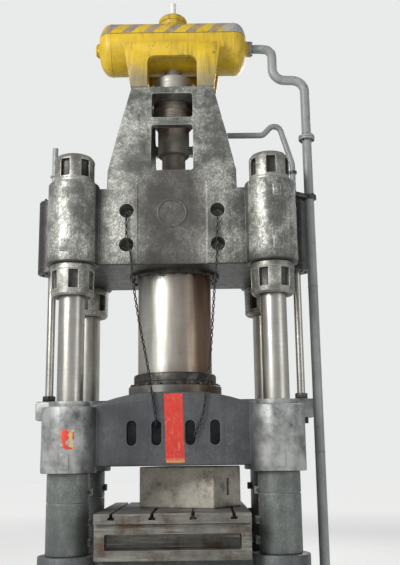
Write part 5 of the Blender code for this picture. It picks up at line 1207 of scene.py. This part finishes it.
class PRESS_OT_table(bpy.types.Operator):
    """Machine the sliding table, its slotted bolster plate and the die block"""
    bl_idname = "press.table"
    bl_label = "Table and die"

    def execute(self, context):
        edge = context.scene.press_sizes.plate_edge
        low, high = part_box("tool_table")
        table = block("milled_table", low, high, edge * 2)
        for start, end in ((-high.y - 0.1, 0.31 - high.y), (high.y - 0.31, high.y + 0.1)):
            cut_out(table, block("pocket", (low.x + 0.14, start, low.z + 0.14), (high.x - 0.14, end, high.z - 0.14),
                                 0.03))
        give(shade(table), "Worn table plate", "tool_table", body="table")
        low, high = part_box("bolster_plate")
        plate = block("slotted_bolster", low, high, edge)
        for share in (-0.39, -0.13, 0.13, 0.39):
            x = share * 2.20
            outline = raised([(-0.05, -0.09), (0.05, -0.09), (0.05, -0.05), (0.025, -0.05), (0.025, 0.1),
                              (-0.025, 0.1), (-0.025, -0.05), (-0.05, -0.05)], high.z, x)
            cut_out(plate, cut_from_plate("t_slot", outline, low.y - 0.1, high.y + 0.1))
        give(shade(plate), "Worn table plate", "bolster_plate", body="table")
        low, high, middle = span("lower_die")
        half = (high.z - low.z) / 2
        die = block("forged_die", (-0.66, -0.47, -half), (0.66, 0.47, half), 0.022, 4)
        cut_out(die, cut_from_plate("grip", oblong(0.0, 0.0, 0.07, 0.27, 0.0349, 8), 0.56, 0.8, "X"))
        set_down(die, middle, (0.0, 0.0, math.radians(-28.0)))
        give(shade(die, 24.0), "Forged die steel", "lower_die", body="table")
        return {"FINISHED"}


# Stage
def soft_box(name, place, aim, size, power):
    lamp = bpy.data.lights.new(name, "AREA")
    lamp.shape = "RECTANGLE"
    lamp.size, lamp.size_y = size
    lamp.energy = power
    holder = bpy.data.objects.new(name, lamp)
    holder.location = place
    holder.rotation_euler = (Vector(aim) - Vector(place)).to_track_quat("-Z", "Y").to_euler()
    bpy.context.scene.collection.objects.link(holder)


class PRESS_OT_stage(bpy.types.Operator):
    """Lay the floor and set the soft light and the camera"""
    bl_idname = "press.stage"
    bl_label = "Stage"

    def execute(self, context):
        scene = context.scene
        scene.view_settings.view_transform = "Standard"
        leave_edit()
        bpy.ops.mesh.primitive_plane_add(size=160.0, location=(0.0, 0.0, -0.002))
        floor = started("floor")
        concrete = Finish("Pale concrete floor", 0.75, 0.0, "#E4E3DF")
        concrete.coat("#ECEBE7", concrete.mottle(667, 5.0))
        concrete.link(concrete.base, concrete.shader["Base Color"])
        # The lamps reach only some ten metres of the floor, so the far floor glows a little to stay as pale.
        concrete.shader["Emission Color"].default_value = linear("#ECEBE7")
        away = concrete.node("VectorMath", {0: concrete.place}, "Value", operation="LENGTH")
        concrete.link(concrete.overlap((away, 4.0, 30.0, 0.05, 0.5)), concrete.shader["Emission Strength"])
        floor.data.materials.append(concrete.material)
        scene.world = bpy.data.worlds.new("Soft room")
        scene.world.use_nodes = True
        tree = scene.world.node_tree
        ground = tree.nodes["Background"]
        ground.inputs["Color"].default_value = linear("#B9BCC0")
        seen = add_node(tree, "Background", {"Color": linear("#E9EAEA"), "Strength": 1.0})
        ray = add_node(tree, "LightPath", out="Is Camera Ray")
        mixed = add_node(tree, "MixShader", {0: ray, 1: ground.outputs[0], 2: seen})
        tree.links.new(mixed, tree.nodes["World Output"].inputs["Surface"])
        soft_box("key_light", (-9.0, -11.0, 11.0), (0.0, 0.0, 5.0), (5.0, 7.0), 2200.0)
        soft_box("fill_light", (11.0, -8.0, 6.0), (0.0, 0.0, 5.0), (4.0, 8.0), 260.0)
        soft_box("back_light", (6.0, 11.0, 12.0), (0.0, 0.0, 6.0), (6.0, 6.0), 900.0)
        lens = bpy.data.cameras.new("camera")
        lens.lens = 51.5
        lens.sensor_width = 36.0
        lens.clip_end = 300.0
        camera = bpy.data.objects.new("camera", lens)
        camera.matrix_world = (Matrix.Translation((0.425, -13.17, 2.70))
                               @ Matrix.Rotation(math.radians(90.0 + 12.19), 4, "X")
                               @ Matrix.Rotation(math.radians(-0.75), 4, "Z"))
        scene.collection.objects.link(camera)
        scene.camera = camera
        return {"FINISHED"}


OPERATORS = (
    PRESS_OT_finishes, PRESS_OT_columns, PRESS_OT_nuts, PRESS_OT_sleeves, PRESS_OT_upper_crosshead,
    PRESS_OT_main_cylinder, PRESS_OT_filling_valve, PRESS_OT_tank, PRESS_OT_moving_crosshead,
    PRESS_OT_plunger, PRESS_OT_return_gear, PRESS_OT_pipes, PRESS_OT_chains, PRESS_OT_bed,
    PRESS_OT_table, PRESS_OT_stage,
)


class PRESS_PT_pieces(bpy.types.Panel):
    """Sizes, colours and pieces of the press"""
    bl_label = "Forging press"
    bl_idname = "PRESS_PT_pieces"
    bl_space_type = "VIEW_3D"
    bl_region_type = "UI"
    bl_category = "Press"

    def draw(self, context):
        column = self.layout.column()
        for group in (context.scene.press_sizes, context.scene.press_colours):
            for name in group.__annotations__:
                column.prop(group, name)
        for operator in OPERATORS:
            column.operator(operator.bl_idname)


CLASSES = (PressSizes, PressColours, *OPERATORS, PRESS_PT_pieces)


def register():
    for part in CLASSES:
        bpy.utils.register_class(part)
    bpy.types.Scene.press_sizes = bpy.props.PointerProperty(type=PressSizes)
    bpy.types.Scene.press_colours = bpy.props.PointerProperty(type=PressColours)


def unregister():
    del bpy.types.Scene.press_colours
    del bpy.types.Scene.press_sizes
    for part in reversed(CLASSES):
        bpy.utils.unregister_class(part)


def main():
    register()
    for operator in OPERATORS:
        group, name = operator.bl_idname.split(".")
        getattr(getattr(bpy.ops, group), name)()


if __name__ == "__main__":
    main()
